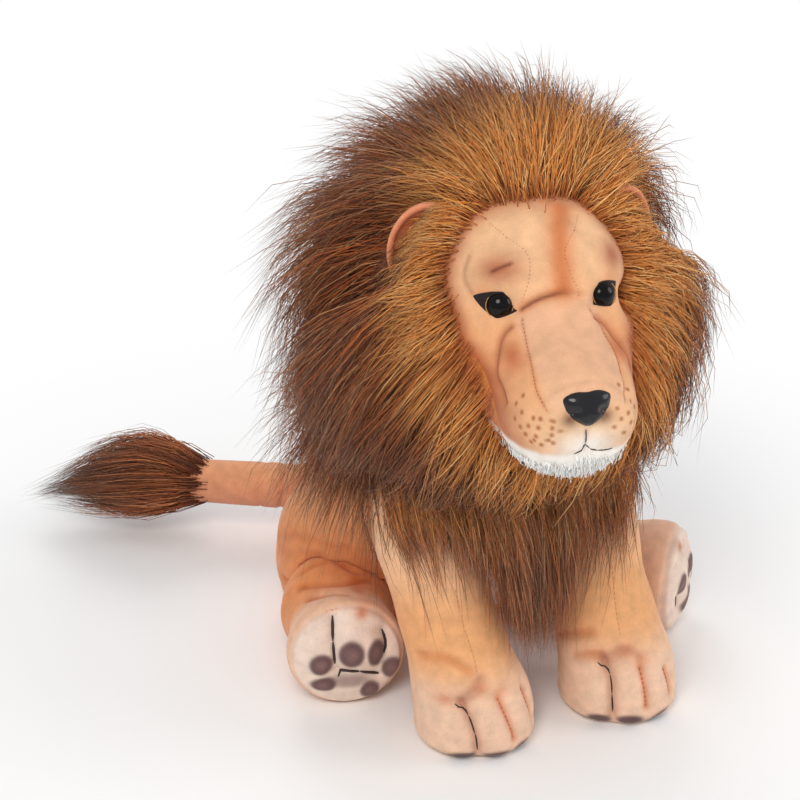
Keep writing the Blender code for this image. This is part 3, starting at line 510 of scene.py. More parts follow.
def lay_stitch(thread, path, radius):
    ring = bmesh.ops.create_circle(thread, cap_ends=False, radius=radius, segments=STITCH_SIDES)["verts"]
    rings = [ring]
    edges = list({edge for corner in ring for edge in corner.link_edges})
    for _ in path[1:]:
        grown = bmesh.ops.extrude_edge_only(thread, edges=edges)["geom"]
        edges = [part for part in grown if isinstance(part, bmesh.types.BMEdge)
                 and all(corner in grown for corner in part.verts)]
        rings.append([part for part in grown if isinstance(part, bmesh.types.BMVert)])
    for index, ((seat, normal), corners) in enumerate(zip(path, rings)):
        following = path[min(index + 1, len(path) - 1)][0] - path[max(index - 1, 0)][0]
        forward = following.normalized()
        sideways = forward.cross(normal).normalized()
        shrink = 0.45 if index in (0, len(path) - 1) else 1.0
        for corner in corners:
            corner.co = (seat + normal * radius * 0.55
                         + (sideways * corner.co.x + normal * corner.co.y) * shrink)
    for corners in (rings[0], rings[-1]):
        bmesh.ops.contextual_create(thread, geom=corners)


def thread_finish(name):
    """Twisted sewing thread, lighter and darker along its plies."""
    made, tree, shader = new_finish(name, {"Roughness": 0.55})
    uneven_dye(tree, shader, grain_on(tree, 3000.0), "Fac", {"To Min": 0.7, "To Max": 1.3})
    return made


def front_leg(side_name, side):
    leg = rolled("front_leg_" + side_name, 136, 180, front_leg_place(side_name, side))
    drawn_in = [(PAW_THREAD[side_name], 0.0066, 0.0030), (PAW_THREAD[side_name], 0.0019, 0.0020)]
    for points in PAW_STITCHES[side_name]:
        drawn_in += [(points, 0.0052, 0.0020), (points, 0.0016, 0.0010)]
    drawn_in += [(PAW_KNUCKLE[side_name], 0.0026, 0.0022), (LEG_SEAM[side_name], 0.0011, 0.0005)]
    drawn_in += [(points, 0.0026, 0.0016) for points in LEG_FOLDS[side_name]]
    for points, width, depth in drawn_in:
        crease(leg, points, width, depth)
    places = places_of(leg)
    lumps = (np.sin(places[:, 2] * 190 + places[:, 0] * 60) * np.sin(places[:, 1] * 140 + side)) * LEG_LUMPS
    lumps = lumps * np.clip(places[:, 2] / PAW_COLOUR_FADE, 0, 1)
    places = places + normals_of(leg) * lumps[:, None]
    places[:, 2] = np.maximum(places[:, 2], 0)
    move_to(leg, places)
    colours = np.tile(PEACH, (len(places), 1))
    side_shade = np.clip(0.5 - normals_of(leg)[:, 1] * -0.6, 0, 1)
    colours = sprayed(colours, side_shade * 0.6, ORANGE)
    colours = sprayed(colours, 0.9 * np.clip((places[:, 2] - 0.072) / 0.030, 0, 1), SHOULDER_PEACH)
    fade = short_of(places[:, 2], PAW_COLOUR_TOP, PAW_COLOUR_FADE * 0.35)
    front = np.clip(0.5 - (places[:, 1] + 0.128) / 0.02, 0, 1)
    colours = sprayed(colours, fade * (0.35 + 0.65 * front), CREAM)
    for centre in PAW_BLUSHES[side_name]:
        colours = sprayed(colours, 0.55 * swell(places, centre, (0.0045, 0.006, 0.003)), BLUSH)
    shaded = [(points, 0.0020, 0.70, BLUSH) for points in PAW_STITCHES[side_name]]
    shaded += [(PAW_THREAD[side_name], 0.0030, 0.55, CREASE_SHADE),
               (PAW_KNUCKLE[side_name], 0.0026, 0.55, CREASE_SHADE)]
    shaded += [(points, 0.0028, 0.50, FOLD_SHADE) for points in LEG_FOLDS[side_name]]
    for points, width, strength, colour in shaded:
        colours = lined(leg, colours, points, width, strength, colour)
    for centre in PAW_PADS[side_name]:
        colours = sprayed(colours, beyond(swell(places, centre, (0.0080, 0.0070, 0.0048)), 0.45, 1 / 18),
                          PAD_BROWN)
    tint(leg, colours)
    leg.data.materials.append(plush_cloth("leg_plush_" + side_name))
    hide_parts("front_leg_skin_" + side_name, "front_leg_stuffing_" + side_name,
                "front_sole_" + side_name)
    pulled = stitches("paw_pull_thread_" + side_name, leg, (PAW_THREAD[side_name],),
                      0.0095, 0.0005, 0.00042, DARK_THREAD)
    seam = stitches("paw_seam_thread_" + side_name, leg, PAW_STITCHES[side_name],
                    0.0016, 0.0008, 0.00028, RUST_THREAD)
    leg_seam = stitches("leg_seam_thread_" + side_name, leg, (LEG_SEAM[side_name],),
                        0.0018, 0.0008, 0.00022, SEAM_THREAD)
    for piece in (leg, pulled, seam, leg_seam):
        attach(piece, "front_leg_" + side_name)
    return leg


SIDES = (("right", -1), ("left", 1))
front_legs = [front_leg(side_name, side) for side_name, side in SIDES]

# The hind legs stick out in front, spread apart, so that their round soles face forward.
# The sole is a pale flat cap sewn round its rim, with printed dark pads and pulled toe threads.
HIP_SIDE = 0.062
HIP_BACK = -0.043
HIP_HEIGHT = 0.0285
HIND_RADIUS = 0.029
HIND_LENGTH = {"right": 0.048, "left": 0.072}
HIND_SPLAY = {"right": math.radians(17), "left": math.radians(48)}
HIND_DOME_SHARE = 0.25
HIND_RIM_SHARE = 0.78
# Distance and radius of each ring in front of the hip
HIND_RUN_SHARES = (
    (0.22, 0.98),
    (0.44, 0.93),
    (0.64, 0.96),
    (0.80, 1.03),
    (0.93, 1.01),
    (1.00, 0.92),
)
SOLE_BULGE = 0.0060
SOLE_CREAM = dye(240, 216, 200)


def hind_frame(side_name, side):
    splay = HIND_SPLAY[side_name]
    forward = np.array((side * math.sin(splay), -math.cos(splay), 0.0))
    sideways = np.array((math.cos(splay), side * math.sin(splay), 0.0))
    return np.array((side * HIP_SIDE, HIP_BACK, HIP_HEIGHT)), forward, sideways


def hind_leg_place(side_name, side):
    hip, forward, sideways = hind_frame(side_name, side)
    length = HIND_LENGTH[side_name]
    rows = []
    for angle in np.linspace(0, math.pi / 2, LEG_DOME_STEPS, endpoint=False):
        rows.append((HIND_DOME_SHARE * 2 * angle / math.pi, -HIND_RADIUS * math.cos(angle),
                     HIND_RADIUS * math.sin(angle)))
    rows.append((HIND_DOME_SHARE, 0.0, HIND_RADIUS))
    for distance, radius in HIND_RUN_SHARES:
        share = HIND_DOME_SHARE + (HIND_RIM_SHARE - HIND_DOME_SHARE) * distance
        rows.append((share, length * distance, HIND_RADIUS * radius))

    def place_of(turn_share, share):
        row = smooth_run(rows, np.minimum(share, HIND_RIM_SHARE))
        closing = np.clip((1 - share) / (1 - HIND_RIM_SHARE), 0, 1)
        ahead = row[:, 0] + np.where(share > HIND_RIM_SHARE, SOLE_BULGE * (1 - closing ** 2.6), 0)
        across, upward = ring_point(turn_share, row[:, 1] * closing, row[:, 1] * closing, 2)
        places = hip + np.outer(ahead, forward) + np.outer(across, sideways)
        places[:, 2] += upward
        return places

    return place_of


# Toe pads, heel pad and marks of each sole: across to the viewer's right, up, half width, half height
SOLE_PADS = {
    "right": ((-0.0136, -0.0014, 0.0060, 0.0062), (0.0018, 0.0040, 0.0066, 0.0080),
              (0.0150, 0.0030, 0.0052, 0.0080), (0.0232, -0.0080, 0.0052, 0.0066),
              (-0.0127, -0.0135, 0.0064, 0.0042), (0.0112, -0.0192, 0.0052, 0.0054)),
    "left": ((-0.0120, 0.0040, 0.0052, 0.0062), (0.0010, 0.0070, 0.0046, 0.0062),
             (0.0120, 0.0040, 0.0046, 0.0060), (0.0200, -0.0060, 0.0046, 0.0052),
             (0.0030, -0.0130, 0.0110, 0.0060)),
}
SOLE_SMEARS = {"right": ((0.0008, -0.0126, 0.0105, 0.0034),), "left": ()}
SOLE_THREADS = {
    "right": (((-0.0082, 0.0275), (-0.0077, 0.0120), (-0.0064, -0.0062)),
              ((-0.0050, -0.0075), (0.0040, -0.0080), (0.0132, -0.0108), (0.0180, -0.0128)),
              ((0.0210, 0.0160), (0.0222, 0.0070), (0.0190, -0.0030))),
    "left": (((-0.0150, -0.0020), (-0.0120, -0.0120)), ((0.0060, 0.0200), (0.0066, -0.0020))),
}
SOLE_ARC = ((-0.0225, 0.0171), (-0.0074, 0.0206), (0.0077, 0.0197), (0.0200, 0.0144))
SOLE_MARK = {"right": (0.0077, 0.0250), "left": (-0.0060, 0.0230)}
THIGH_FOLDS = {
    "right": (((-0.0830, -0.0480, 0.0480), (-0.0801, -0.0537, 0.0517), (-0.0687, -0.0636, 0.0554),
               (-0.0508, -0.0608, 0.0509)),
              ((-0.0845, -0.0620, 0.0480), (-0.0800, -0.0700, 0.0535), (-0.0710, -0.0779, 0.0573)),
              ((-0.0800, -0.0380, 0.0520), (-0.0672, -0.0420, 0.0575), (-0.0560, -0.0560, 0.0550))),
    "left": (((0.0830, -0.0480, 0.0480), (0.0760, -0.0590, 0.0540), (0.0600, -0.0600, 0.0540)),),
}
PAD_PALE_MIDDLE = dye(164, 128, 122)
THIGH_FOLD_SHADE = dye(184, 92, 48)
THIGH_RIPPLE = 0.0006
ARC_THREAD = dye(250, 226, 200)
RIM_THREAD = dye(226, 170, 120)


def on_sole(side_name, side, points):
    """Points across and up on the sole's front."""
    hip, forward, sideways = hind_frame(side_name, side)
    middle = hip + forward * (HIND_LENGTH[side_name] + SOLE_BULGE)
    return [middle + sideways * across + np.array((0.0, 0.0, up)) for across, up in points]


def hind_leg(side_name, side):
    leg = rolled("hind_leg_" + side_name, 136, 160, hind_leg_place(side_name, side))
    places = places_of(leg)
    hip, forward, sideways = hind_frame(side_name, side)
    rim = hip + forward * HIND_LENGTH[side_name] * 0.97
    from_hip = places - hip
    ahead = from_hip @ forward
    across = from_hip @ sideways
    upward = places[:, 2] - hip[2]
    threads = [on_sole(side_name, side, points) for points in SOLE_THREADS[side_name]]
    for points in threads:
        crease(leg, points, 0.0056, 0.0024)
        crease(leg, points, 0.0015, 0.0014)
    arc_route = on_sole(side_name, side, SOLE_ARC)
    crease(leg, arc_route, 0.0016, 0.0007)
    turn = np.linspace(0, math.tau, 49)
    round_rim = HIND_RADIUS * 1.02
    rim_route = np.array([rim + sideways * math.cos(angle) * round_rim
                          + np.array((0, 0, math.sin(angle) * round_rim))
                          for angle in turn])
    crease(leg, rim_route, 0.0014, 0.0007)
    for points in THIGH_FOLDS[side_name]:
        crease(leg, points, 0.0022, 0.0016)
    for pad_across, pad_up, half_width, half_height in SOLE_PADS[side_name]:
        puff = np.exp(-((across - pad_across) / half_width) ** 4 - ((upward - pad_up) / half_height) ** 4)
        places = places_of(leg)
        move_to(leg, places + np.outer(puff * (ahead > HIND_LENGTH[side_name] * 0.9) * 0.0010, forward))
    places = places_of(leg)
    ripple = np.sin(ahead * 420 + np.sin(across * 120) * 1.5) * np.clip(1 - ahead / 0.03, 0, 1) * (ahead > 0)
    ripple = ripple * THIGH_RIPPLE
    places = places + normals_of(leg) * ripple[:, None]
    places[:, 2] = np.maximum(places[:, 2], 0)
    move_to(leg, places)
    colours = np.tile(ORANGE, (len(places), 1))
    paw = beyond(ahead, HIND_LENGTH[side_name] * 0.55, 0.0030)
    colours = sprayed(colours, paw * 0.76, CREAM)
    sole = beyond(ahead, HIND_LENGTH[side_name] * 0.965, 0.0008)
    colours = sprayed(colours, sole, SOLE_CREAM)
    for pads, softness, strength in ((SOLE_PADS[side_name], 16, 1.0), (SOLE_SMEARS[side_name], 6, 0.65)):
        for pad_across, pad_up, half_width, half_height in pads:
            reach = np.hypot((across - pad_across) / half_width, (upward - pad_up) / half_height)
            colours = sprayed(colours, sole * strength * short_of(reach, 1, 1 / softness), PAD_BROWN)
            # Each pad is paler in its middle.
            colours = sprayed(colours, sole * strength * 0.45 * np.exp(-(reach / 0.62) ** 2), PAD_PALE_MIDDLE)
    mark_across, mark_up = SOLE_MARK[side_name]
    mark = np.exp(-((across - mark_across) / 0.0035) ** 2 - ((upward - mark_up) / 0.003) ** 2)
    colours = sprayed(colours, mark * (ahead > 0.01) * (upward > 0) * 0.8, BLUSH)
    # Painted shade: darker rust along each thigh fold.
    for points in THIGH_FOLDS[side_name]:
        apart = distance_to(places, smooth_route(points))
        colours = sprayed(colours, 0.7 * np.exp(-(apart / 0.0022) ** 2), THIGH_FOLD_SHADE)
    tint(leg, colours)
    leg.data.materials.append(plush_cloth("hind_plush_" + side_name))
    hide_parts("hind_leg_skin_" + side_name, "hind_leg_stuffing_" + side_name,
                "hind_sole_" + side_name)
    pulled = stitches("sole_pull_thread_" + side_name, leg, threads, 0.0130, 0.0006, 0.00078, DARK_THREAD)
    arc = stitches("sole_arc_thread_" + side_name, leg, (arc_route,), 0.0014, 0.0007, 0.00018, ARC_THREAD)
    rim_thread = stitches("sole_rim_thread_" + side_name, leg, (rim_route,), 0.0017, 0.0009, 0.0002,
                          RIM_THREAD)
    for piece in (leg, pulled, arc, rim_thread):
        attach(piece, "hind_leg_" + side_name)
    return leg


hind_legs = [hind_leg(side_name, side) for side_name, side in SIDES]

# The body is one bag of orange plush with a flat seat, stuffed firm and drawn in where limbs are sewn on.
# The cloth wrinkles across the flank above the hind legs, with two short darts over each of them.
BODY_HEIGHT = 0.165
BODY_HALF_WIDTH = 0.076
BODY_HALF_DEPTH = 0.058
BODY_LEAN = 0.088
BODY_ROUNDNESS = 2.2
SEAT_SHARE = 0.12
BODY_TOP_SHARE = 0.95
# Height, lean, width and depth of the body
BODY_SHARES = (
    (0.000, 0.00, 0.74, 0.72),
    (0.030, 0.00, 0.87, 0.85),
    (0.110, 0.00, 0.97, 0.96),
    (0.260, 0.05, 1.00, 1.00),
    (0.440, 0.22, 0.95, 0.95),
    (0.600, 0.45, 0.84, 0.86),
    (0.760, 0.72, 0.70, 0.76),
    (0.900, 0.93, 0.56, 0.64),
    (1.000, 1.00, 0.42, 0.48),
)
SOCKET_GAP = 0.0006
UNDER_MANE_SHADE = dye(92, 54, 36)
FLANK_FOLDS = (
    (((-0.0732, 0.0080, 0.0484), (-0.0700, -0.0250, 0.0640), (-0.0601, -0.0503, 0.0676)), 0.0030, 0.0009),
    (((-0.0748, 0.0044, 0.0427), (-0.0681, -0.0358, 0.0578)), 0.0026, 0.0008),
    (((-0.0741, 0.0000, 0.0270), (-0.0700, -0.0257, 0.0354), (-0.0597, -0.0420, 0.0416),
      (-0.0461, -0.0527, 0.0446)),
     0.0022, 0.0018),
    (((-0.0700, -0.0100, 0.0180), (-0.0691, -0.0231, 0.0239), (-0.0589, -0.0399, 0.0324)), 0.0022, 0.0012),
)
DARTS = (
    ((-0.0592, -0.0480, 0.0578), (-0.0571, -0.0452, 0.0433)),
    ((-0.0592, -0.0480, 0.0578), (-0.0464, -0.0534, 0.0469)),
)


def body_place(turn_share, share):
    run = np.clip((share - SEAT_SHARE) / (BODY_TOP_SHARE - SEAT_SHARE), 0, 1)
    row = smooth_run(BODY_SHARES, run)
    closing = np.minimum(np.clip(share / SEAT_SHARE, 0, 1),
                         np.clip((1 - share) / (1 - BODY_TOP_SHARE), 0, 1))
    across, backward = ring_point(turn_share, BODY_HALF_WIDTH * row[:, 1] * closing,
                                  BODY_HALF_DEPTH * row[:, 2] * closing, BODY_ROUNDNESS)
    return np.column_stack((across, backward - BODY_LEAN * row[:, 0], BODY_HEIGHT * run))


def body_axis(places):
    """The body's middle line, level with each place."""
    row = smooth_run(BODY_SHARES, np.clip(places[:, 2] / BODY_HEIGHT, 0, 1))
    return np.column_stack((np.zeros(len(places)), -BODY_LEAN * row[:, 0], places[:, 2]))


def press_in(made, neighbour, inward):
    """Presses the cloth in until it clears a limb that is sewn against it."""
    tree = tree_of(neighbour)
    places = places_of(made)
    for index, (place, direction) in enumerate(zip(places, inward)):
        hit, normal, _, _ = tree.ray_cast(Vector(place), Vector(direction))
        if hit and normal.dot(Vector(direction)) > 0:
            places[index] = np.array(hit) + direction * SOCKET_GAP
    move_to(made, places)


body = rolled("body_cover", 180, 180, body_place)
for points, width, depth in FLANK_FOLDS:
    mirrored = [(-point[0], point[1], point[2]) for point in points]
    crease(body, points, width, depth)
    crease(body, mirrored, width, depth * 0.7)
for points in DARTS:
    crease(body, points, 0.0010, 0.0008)
    crease(body, [(-point[0], point[1], point[2]) for point in points], 0.0010, 0.0008)
body_places = places_of(body)
body_swell = (np.sin(body_places[:, 0] * 70 + 1) * np.sin(body_places[:, 2] * 85 + 2)
              * np.sin(body_places[:, 1] * 75)) * 0.0012
body_swell = body_swell * np.clip(body_places[:, 2] / 0.02, 0, 1)
move_to(body, body_places + normals_of(body) * body_swell[:, None])
for leg in front_legs + hind_legs:
    body_places = places_of(body)
    inward = body_axis(body_places) - body_places
    inward = inward / np.maximum(np.linalg.norm(inward, axis=1, keepdims=True), WELD)
    press_in(body, leg, inward)
body_places = places_of(body)
body_colours = np.tile(ORANGE, (len(body_places), 1))
body_colours = sprayed(body_colours, np.clip((body_places[:, 2] - 0.05) / 0.06, 0, 1) * 0.6, PEACH)
# Painted shade: darker orange along each flank fold, on both sides.
for points, width, depth in FLANK_FOLDS:
    for way in (1, -1):
        route = smooth_route([(way * point[0], point[1], point[2]) for point in points])
        body_colours = sprayed(body_colours, 0.5 * np.exp(-(distance_to(body_places, route) / 0.004) ** 2),
                               dye(196, 104, 56))
# Painted shade: dark brown on the top of the body, where the mane's shadow falls.
body_colours = sprayed(body_colours, np.clip((body_places[:, 2] - 0.148) / 0.008, 0, 1), UNDER_MANE_SHADE)
tint(body, body_colours)
body.data.materials.append(plush_cloth("body_plush"))
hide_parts("body_skin", "body_stuffing", "seat_panel")
dart_thread = stitches("dart_thread", body, DARTS, 0.0018, 0.0007, 0.0002, dye(236, 170, 116))
for piece in (body, dart_thread):
    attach(piece, "torso")

# The neck is a wad of stuffing in a plush sleeve, which the head turns and nods on.
# The mane hides it all round.
NECK = np.array((0.0, -0.090, 0.182))
NECK_RADIUS = 0.037


def neck_place(turn_share, share):
    polar = share * math.pi
    across, forward = ring_point(turn_share, NECK_RADIUS * np.sin(polar), NECK_RADIUS * np.sin(polar), 2)
    gathers = 1 + 0.02 * np.cos(turn_share * math.tau * 14) * np.sin(polar)
    return NECK + np.column_stack((across * gathers, forward * gathers, NECK_RADIUS * np.cos(polar)))


neck = rolled("neck_cover", 112, 48, neck_place)
# The sleeve is coloured dark brown as painted shade, for the shadow under the mane.
tint(neck, np.tile(UNDER_MANE_SHADE, (len(neck.data.vertices), 1)))
neck.data.materials.append(plush_cloth("neck_plush"))
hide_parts("neck_stuffing")
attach(neck, "neck")

# The head cover is short plush cut in panels: forehead, two brow patches, a flat bridge, cheeks and muzzle.
# It is stuffed firm, pulled in at the seams, and shaded by airbrush in rust and brown; painted shade darkens
# the bridge fold and the cloth under the mane.
HEAD_TURN = math.radians(-9.5)
HEAD_LENGTH = 0.157
HEAD_HALF_WIDTH = 0.050
HEAD_HALF_HEIGHT = 0.052
HEAD_RISE = 0.052
HEAD_BACK = 0.012
HEAD_ROUNDNESS = 2.1
HEAD_MIDDLE = np.array((0.0, -0.0403, 0.052))
# Length, rise, width and height of the head, from its back to its muzzle
HEAD_SHARES = (
    (0.000, 1.00, 0.16, 0.16),
    (0.038, 1.00, 0.46, 0.46),
    (0.114, 1.00, 0.74, 0.76),
    (0.234, 1.00, 0.93, 0.94),
    (0.361, 1.00, 1.00, 1.00),
    (0.468, 0.97, 0.98, 0.98),
    (0.557, 0.90, 0.91, 0.92),
    (0.633, 0.77, 0.80, 0.82),
    (0.690, 0.62, 0.70, 0.66),
    (0.772, 0.55, 0.63, 0.57),
    (0.867, 0.53, 0.58, 0.51),
    (0.943, 0.54, 0.47, 0.42),
    (0.987, 0.57, 0.28, 0.26),
    (1.000, 0.58, 0.08, 0.08),
)
HEAD_CAP_SHARE = 0.015
HEAD_BACK_ROWS_SHARE = 0.22
HEAD_BACK_LENGTH_SHARE = 0.42
# Seams, creases and airbrushed marks, in the head's own frame, which looks along -Y from the neck
BRIDGE_SEAM = ((-0.0152, -0.0966, 0.0631), (-0.0165, -0.1069, 0.0559), (-0.0179, -0.1198, 0.0500),
               (-0.0189, -0.1337, 0.0429), (-0.0163, -0.1395, 0.0380))
BRIDGE_SEAM_LEFT = ((0.0185, -0.0955, 0.0640), (0.0235, -0.1010, 0.0560), (0.0250, -0.1100, 0.0490),
                    (0.0215, -0.1260, 0.0450), (0.0175, -0.1390, 0.0380))
BRIDGE_FOLD = ((-0.0150, -0.0945, 0.0665), (-0.0057, -0.0940, 0.0701), (0.0050, -0.0933, 0.0714),
               (0.0150, -0.0945, 0.0690))
CHEEK_CURVE = ((-0.0200, -0.0970, 0.0600), (-0.0233, -0.0978, 0.0573), (-0.0273, -0.1013, 0.0501),
               (-0.0295, -0.1073, 0.0411), (-0.0289, -0.1145, 0.0378), (-0.0285, -0.1200, 0.0345))
BROW_DART = ((-0.0204, -0.0645, 0.0954), (-0.0158, -0.0742, 0.0923))
BROW_SEAM = ((-0.0158, -0.0742, 0.0923), (-0.0105, -0.0800, 0.0890), (-0.0086, -0.0824, 0.0866),
             (-0.0089, -0.0879, 0.0807), (-0.0110, -0.0909, 0.0749), (-0.0143, -0.0934, 0.0690))
BROW_EDGE = ((-0.0317, -0.0719, 0.0840), (-0.0353, -0.0770, 0.0755), (-0.0337, -0.0821, 0.0710))
BROW_SLIT = ((-0.0240, -0.0818, 0.0796), (-0.0165, -0.0834, 0.0832))
SOCKET = ((-0.0405, -0.0810, 0.0600), (-0.0440, -0.0740, 0.0600), (-0.0480, -0.0640, 0.0610))
SOCKET_DEPTHS = {"right": 0.0020, "left": 0.0075}
FOREHEAD_STRIPE = ((0.0125, -0.0634, 0.0988), (0.0085, -0.0740, 0.0935), (0.0060, -0.0863, 0.0831),
                   (0.0055, -0.0921, 0.0736))
MOUTH_MIDDLE = ((-0.0005, -0.1450, 0.0290), (-0.0002, -0.1445, 0.0250), (0.0001, -0.1439, 0.0206))
MOUTH_RIGHT = ((0.0001, -0.1439, 0.0206), (-0.0020, -0.1436, 0.0189), (-0.0046, -0.1431, 0.0177),
               (-0.0072, -0.1423, 0.0172))
MOUTH_LEFT = ((0.0001, -0.1439, 0.0206), (0.0030, -0.1435, 0.0188), (0.0064, -0.1429, 0.0178),
              (0.0100, -0.1416, 0.0175), (0.0128, -0.1398, 0.0180))
WHISKER_DOTS = (
    (-0.0235, -0.1282, 0.0409), (-0.0259, -0.1268, 0.0369), (-0.0244, -0.1317, 0.0349),
    (-0.0210, -0.1372, 0.0343),
    (-0.0186, -0.1389, 0.0348), (-0.0151, -0.1414, 0.0347), (-0.0262, -0.1290, 0.0310),
    (-0.0239, -0.1348, 0.0266),
    (-0.0200, -0.1385, 0.0275), (-0.0155, -0.1418, 0.0285), (-0.0114, -0.1435, 0.0302),
    (-0.0219, -0.1368, 0.0237),
    (-0.0184, -0.1393, 0.0240), (-0.0146, -0.1420, 0.0248), (0.0164, -0.1353, 0.0445),
    (0.0209, -0.1333, 0.0406),
    (0.0169, -0.1383, 0.0396), (0.0208, -0.1367, 0.0365), (0.0134, -0.1420, 0.0371),
    (0.0180, -0.1396, 0.0334),
    (0.0225, -0.1345, 0.0330), (0.0190, -0.1385, 0.0290), (0.0150, -0.1412, 0.0320),
    (0.0210, -0.1362, 0.0270),
    (0.0165, -0.1400, 0.0255), (0.0125, -0.1425, 0.0290), (-0.0226, -0.1352, 0.0306),
    (-0.0192, -0.1388, 0.0312),
    (-0.0153, -0.1416, 0.0316), (-0.0203, -0.1381, 0.0255), (-0.0166, -0.1406, 0.0262),
    (-0.0246, -0.1322, 0.0290),
)
LIP_LINE = 0.0180
# Angle round the face from the top, and how far from straight ahead the mane starts there
HAIRLINE = ((0, 71), (20, 74), (35, 73), (48, 67), (60, 61), (72, 53), (87, 43), (98, 35), (110, 30),
            (122, 28),
            (141, 30), (161, 36), (180, 42))
FOREHEAD_CREAM = dye(240, 190, 146)
CHEEK_ORANGE = dye(232, 166, 117)
BRIDGE_TAN = dye(232, 180, 143)
HAIRLINE_RUST = dye(178, 92, 50)
STRIPE_ORANGE = dye(208, 118, 66)
BROW_RUST = dye(170, 92, 60)
BROW_BROWN = dye(118, 60, 42)
LIP_WHITE = dye(246, 240, 232)
NOSE_MAROON = dye(96, 44, 38)
WHISKER_BROWN = dye(172, 102, 60)


def on_head(points):
    """From the head's own frame to the lion's."""
    points = np.asarray(points, float)
    return np.stack((points[..., 0] * math.cos(HEAD_TURN) - points[..., 1] * math.sin(HEAD_TURN),
                     points[..., 0] * math.sin(HEAD_TURN) + points[..., 1] * math.cos(HEAD_TURN),
                     points[..., 2]), axis=-1) + NECK


def in_head(points):
    """From the lion's frame to the head's own."""
    points = points - NECK
    return np.stack((points[..., 0] * math.cos(HEAD_TURN) + points[..., 1] * math.sin(HEAD_TURN),
                     -points[..., 0] * math.sin(HEAD_TURN) + points[..., 1] * math.cos(HEAD_TURN),
                     points[..., 2]), axis=-1)


def flipped(points):
    return [(-point[0], *point[1:]) for point in points]


def head_place(turn_share, share):
    run = np.interp(share, (0, HEAD_CAP_SHARE, HEAD_BACK_ROWS_SHARE, 1 - HEAD_CAP_SHARE, 1),
                    (0, 0, HEAD_BACK_LENGTH_SHARE, 1, 1))
    row = smooth_run(HEAD_SHARES, run)
    closing = np.minimum(np.clip(share / HEAD_CAP_SHARE, 0, 1), np.clip((1 - share) / HEAD_CAP_SHARE, 0, 1))
    across, upward = ring_point(turn_share, HEAD_HALF_WIDTH * row[:, 1] * closing,
                                HEAD_HALF_HEIGHT * row[:, 2] * closing, HEAD_ROUNDNESS)
    return on_head(np.column_stack((across, HEAD_BACK - HEAD_LENGTH * run, HEAD_RISE * row[:, 0] + upward)))


def round_angles(places):
    """Each place's angle round the face from the top and its angle from straight ahead, in degrees."""
    ways = in_head(places) - HEAD_MIDDLE
    ways = ways / np.maximum(np.linalg.norm(ways, axis=1, keepdims=True), WELD)
    return np.degrees(np.arctan2(ways[:, 0], ways[:, 2])), np.degrees(np.arccos(np.clip(-ways[:, 1], -1, 1)))


def hairline(around):
    line = np.array(HAIRLINE)
    return np.interp(np.abs(around), line[:, 0], line[:, 1])


head = rolled("head_cover_plush", 252, 280, head_place)
own = in_head(places_of(head))
mirrored_own = np.column_stack((-np.abs(own[:, 0]), own[:, 1:]))
rise = (0.0016 * swell(mirrored_own, (-0.0220, -0.0800, 0.0810), (0.013, 0.012, 0.009))
        - 0.0026 * swell(mirrored_own, (-0.0235, -0.0930, 0.0670), (0.010, 0.009, 0.0065))
        - 0.0010 * swell(mirrored_own, (-0.0230, -0.1010, 0.0520), (0.006, 0.012, 0.007))
        + 0.0013 * swell(mirrored_own, (-0.0180, -0.1340, 0.0290), (0.012, 0.014, 0.010))
        + 0.0010 * swell(mirrored_own, (-0.0330, -0.0900, 0.0500), (0.010, 0.014, 0.012))
        + 0.0030 * swell(own, (0.0330, -0.1020, 0.0400), (0.012, 0.018, 0.010))
        - 0.0008 * swell(mirrored_own, (0.0, -0.0900, 0.0790), (0.010, 0.010, 0.012)))
move_to(head, places_of(head) + normals_of(head) * rise[:, None])
crease(head, on_head(SOCKET), 0.0076, SOCKET_DEPTHS["right"])
crease(head, on_head(flipped(SOCKET)), 0.0076, SOCKET_DEPTHS["left"])
crease(head, on_head(BRIDGE_SEAM), 0.0013, 0.0012)
crease(head, on_head(BRIDGE_SEAM_LEFT), 0.0013, 0.0012)
crease(head, on_head(BROW_SLIT), 0.0012, 0.0012)
crease(head, on_head(BROW_EDGE), 0.0014, 0.0006)
for points, width, depth in ((CHEEK_CURVE, 0.0013, 0.0014), (BROW_DART, 0.0009, 0.0006),
                             (BROW_SEAM, 0.0009, 0.0006)):
    crease(head, on_head(points), width, depth)
    crease(head, on_head(flipped(points)), width, depth)
crease(head, on_head(BRIDGE_FOLD), 0.0016, 0.0022)
crease(head, on_head(MOUTH_MIDDLE), 0.0014, 0.0016)
crease(head, on_head(MOUTH_RIGHT), 0.0012, 0.0010)
crease(head, on_head(MOUTH_LEFT), 0.0012, 0.0010)
head_places = before_creases(head)[1]
own = in_head(head_places)
mirrored_own = np.column_stack((-np.abs(own[:, 0]), own[:, 1:]))
around, ahead = round_angles(head_places)


def along_line(points, width, both_sides=False):
    """How strongly each place of the face lies on a painted line, from 0 to 1."""
    routes = [points, flipped(points)] if both_sides else [points]
    apart = [distance_to(head_places, on_cloth(head, on_head(route))) for route in routes]
    return np.exp(-(np.min(apart, axis=0) / width) ** 2)


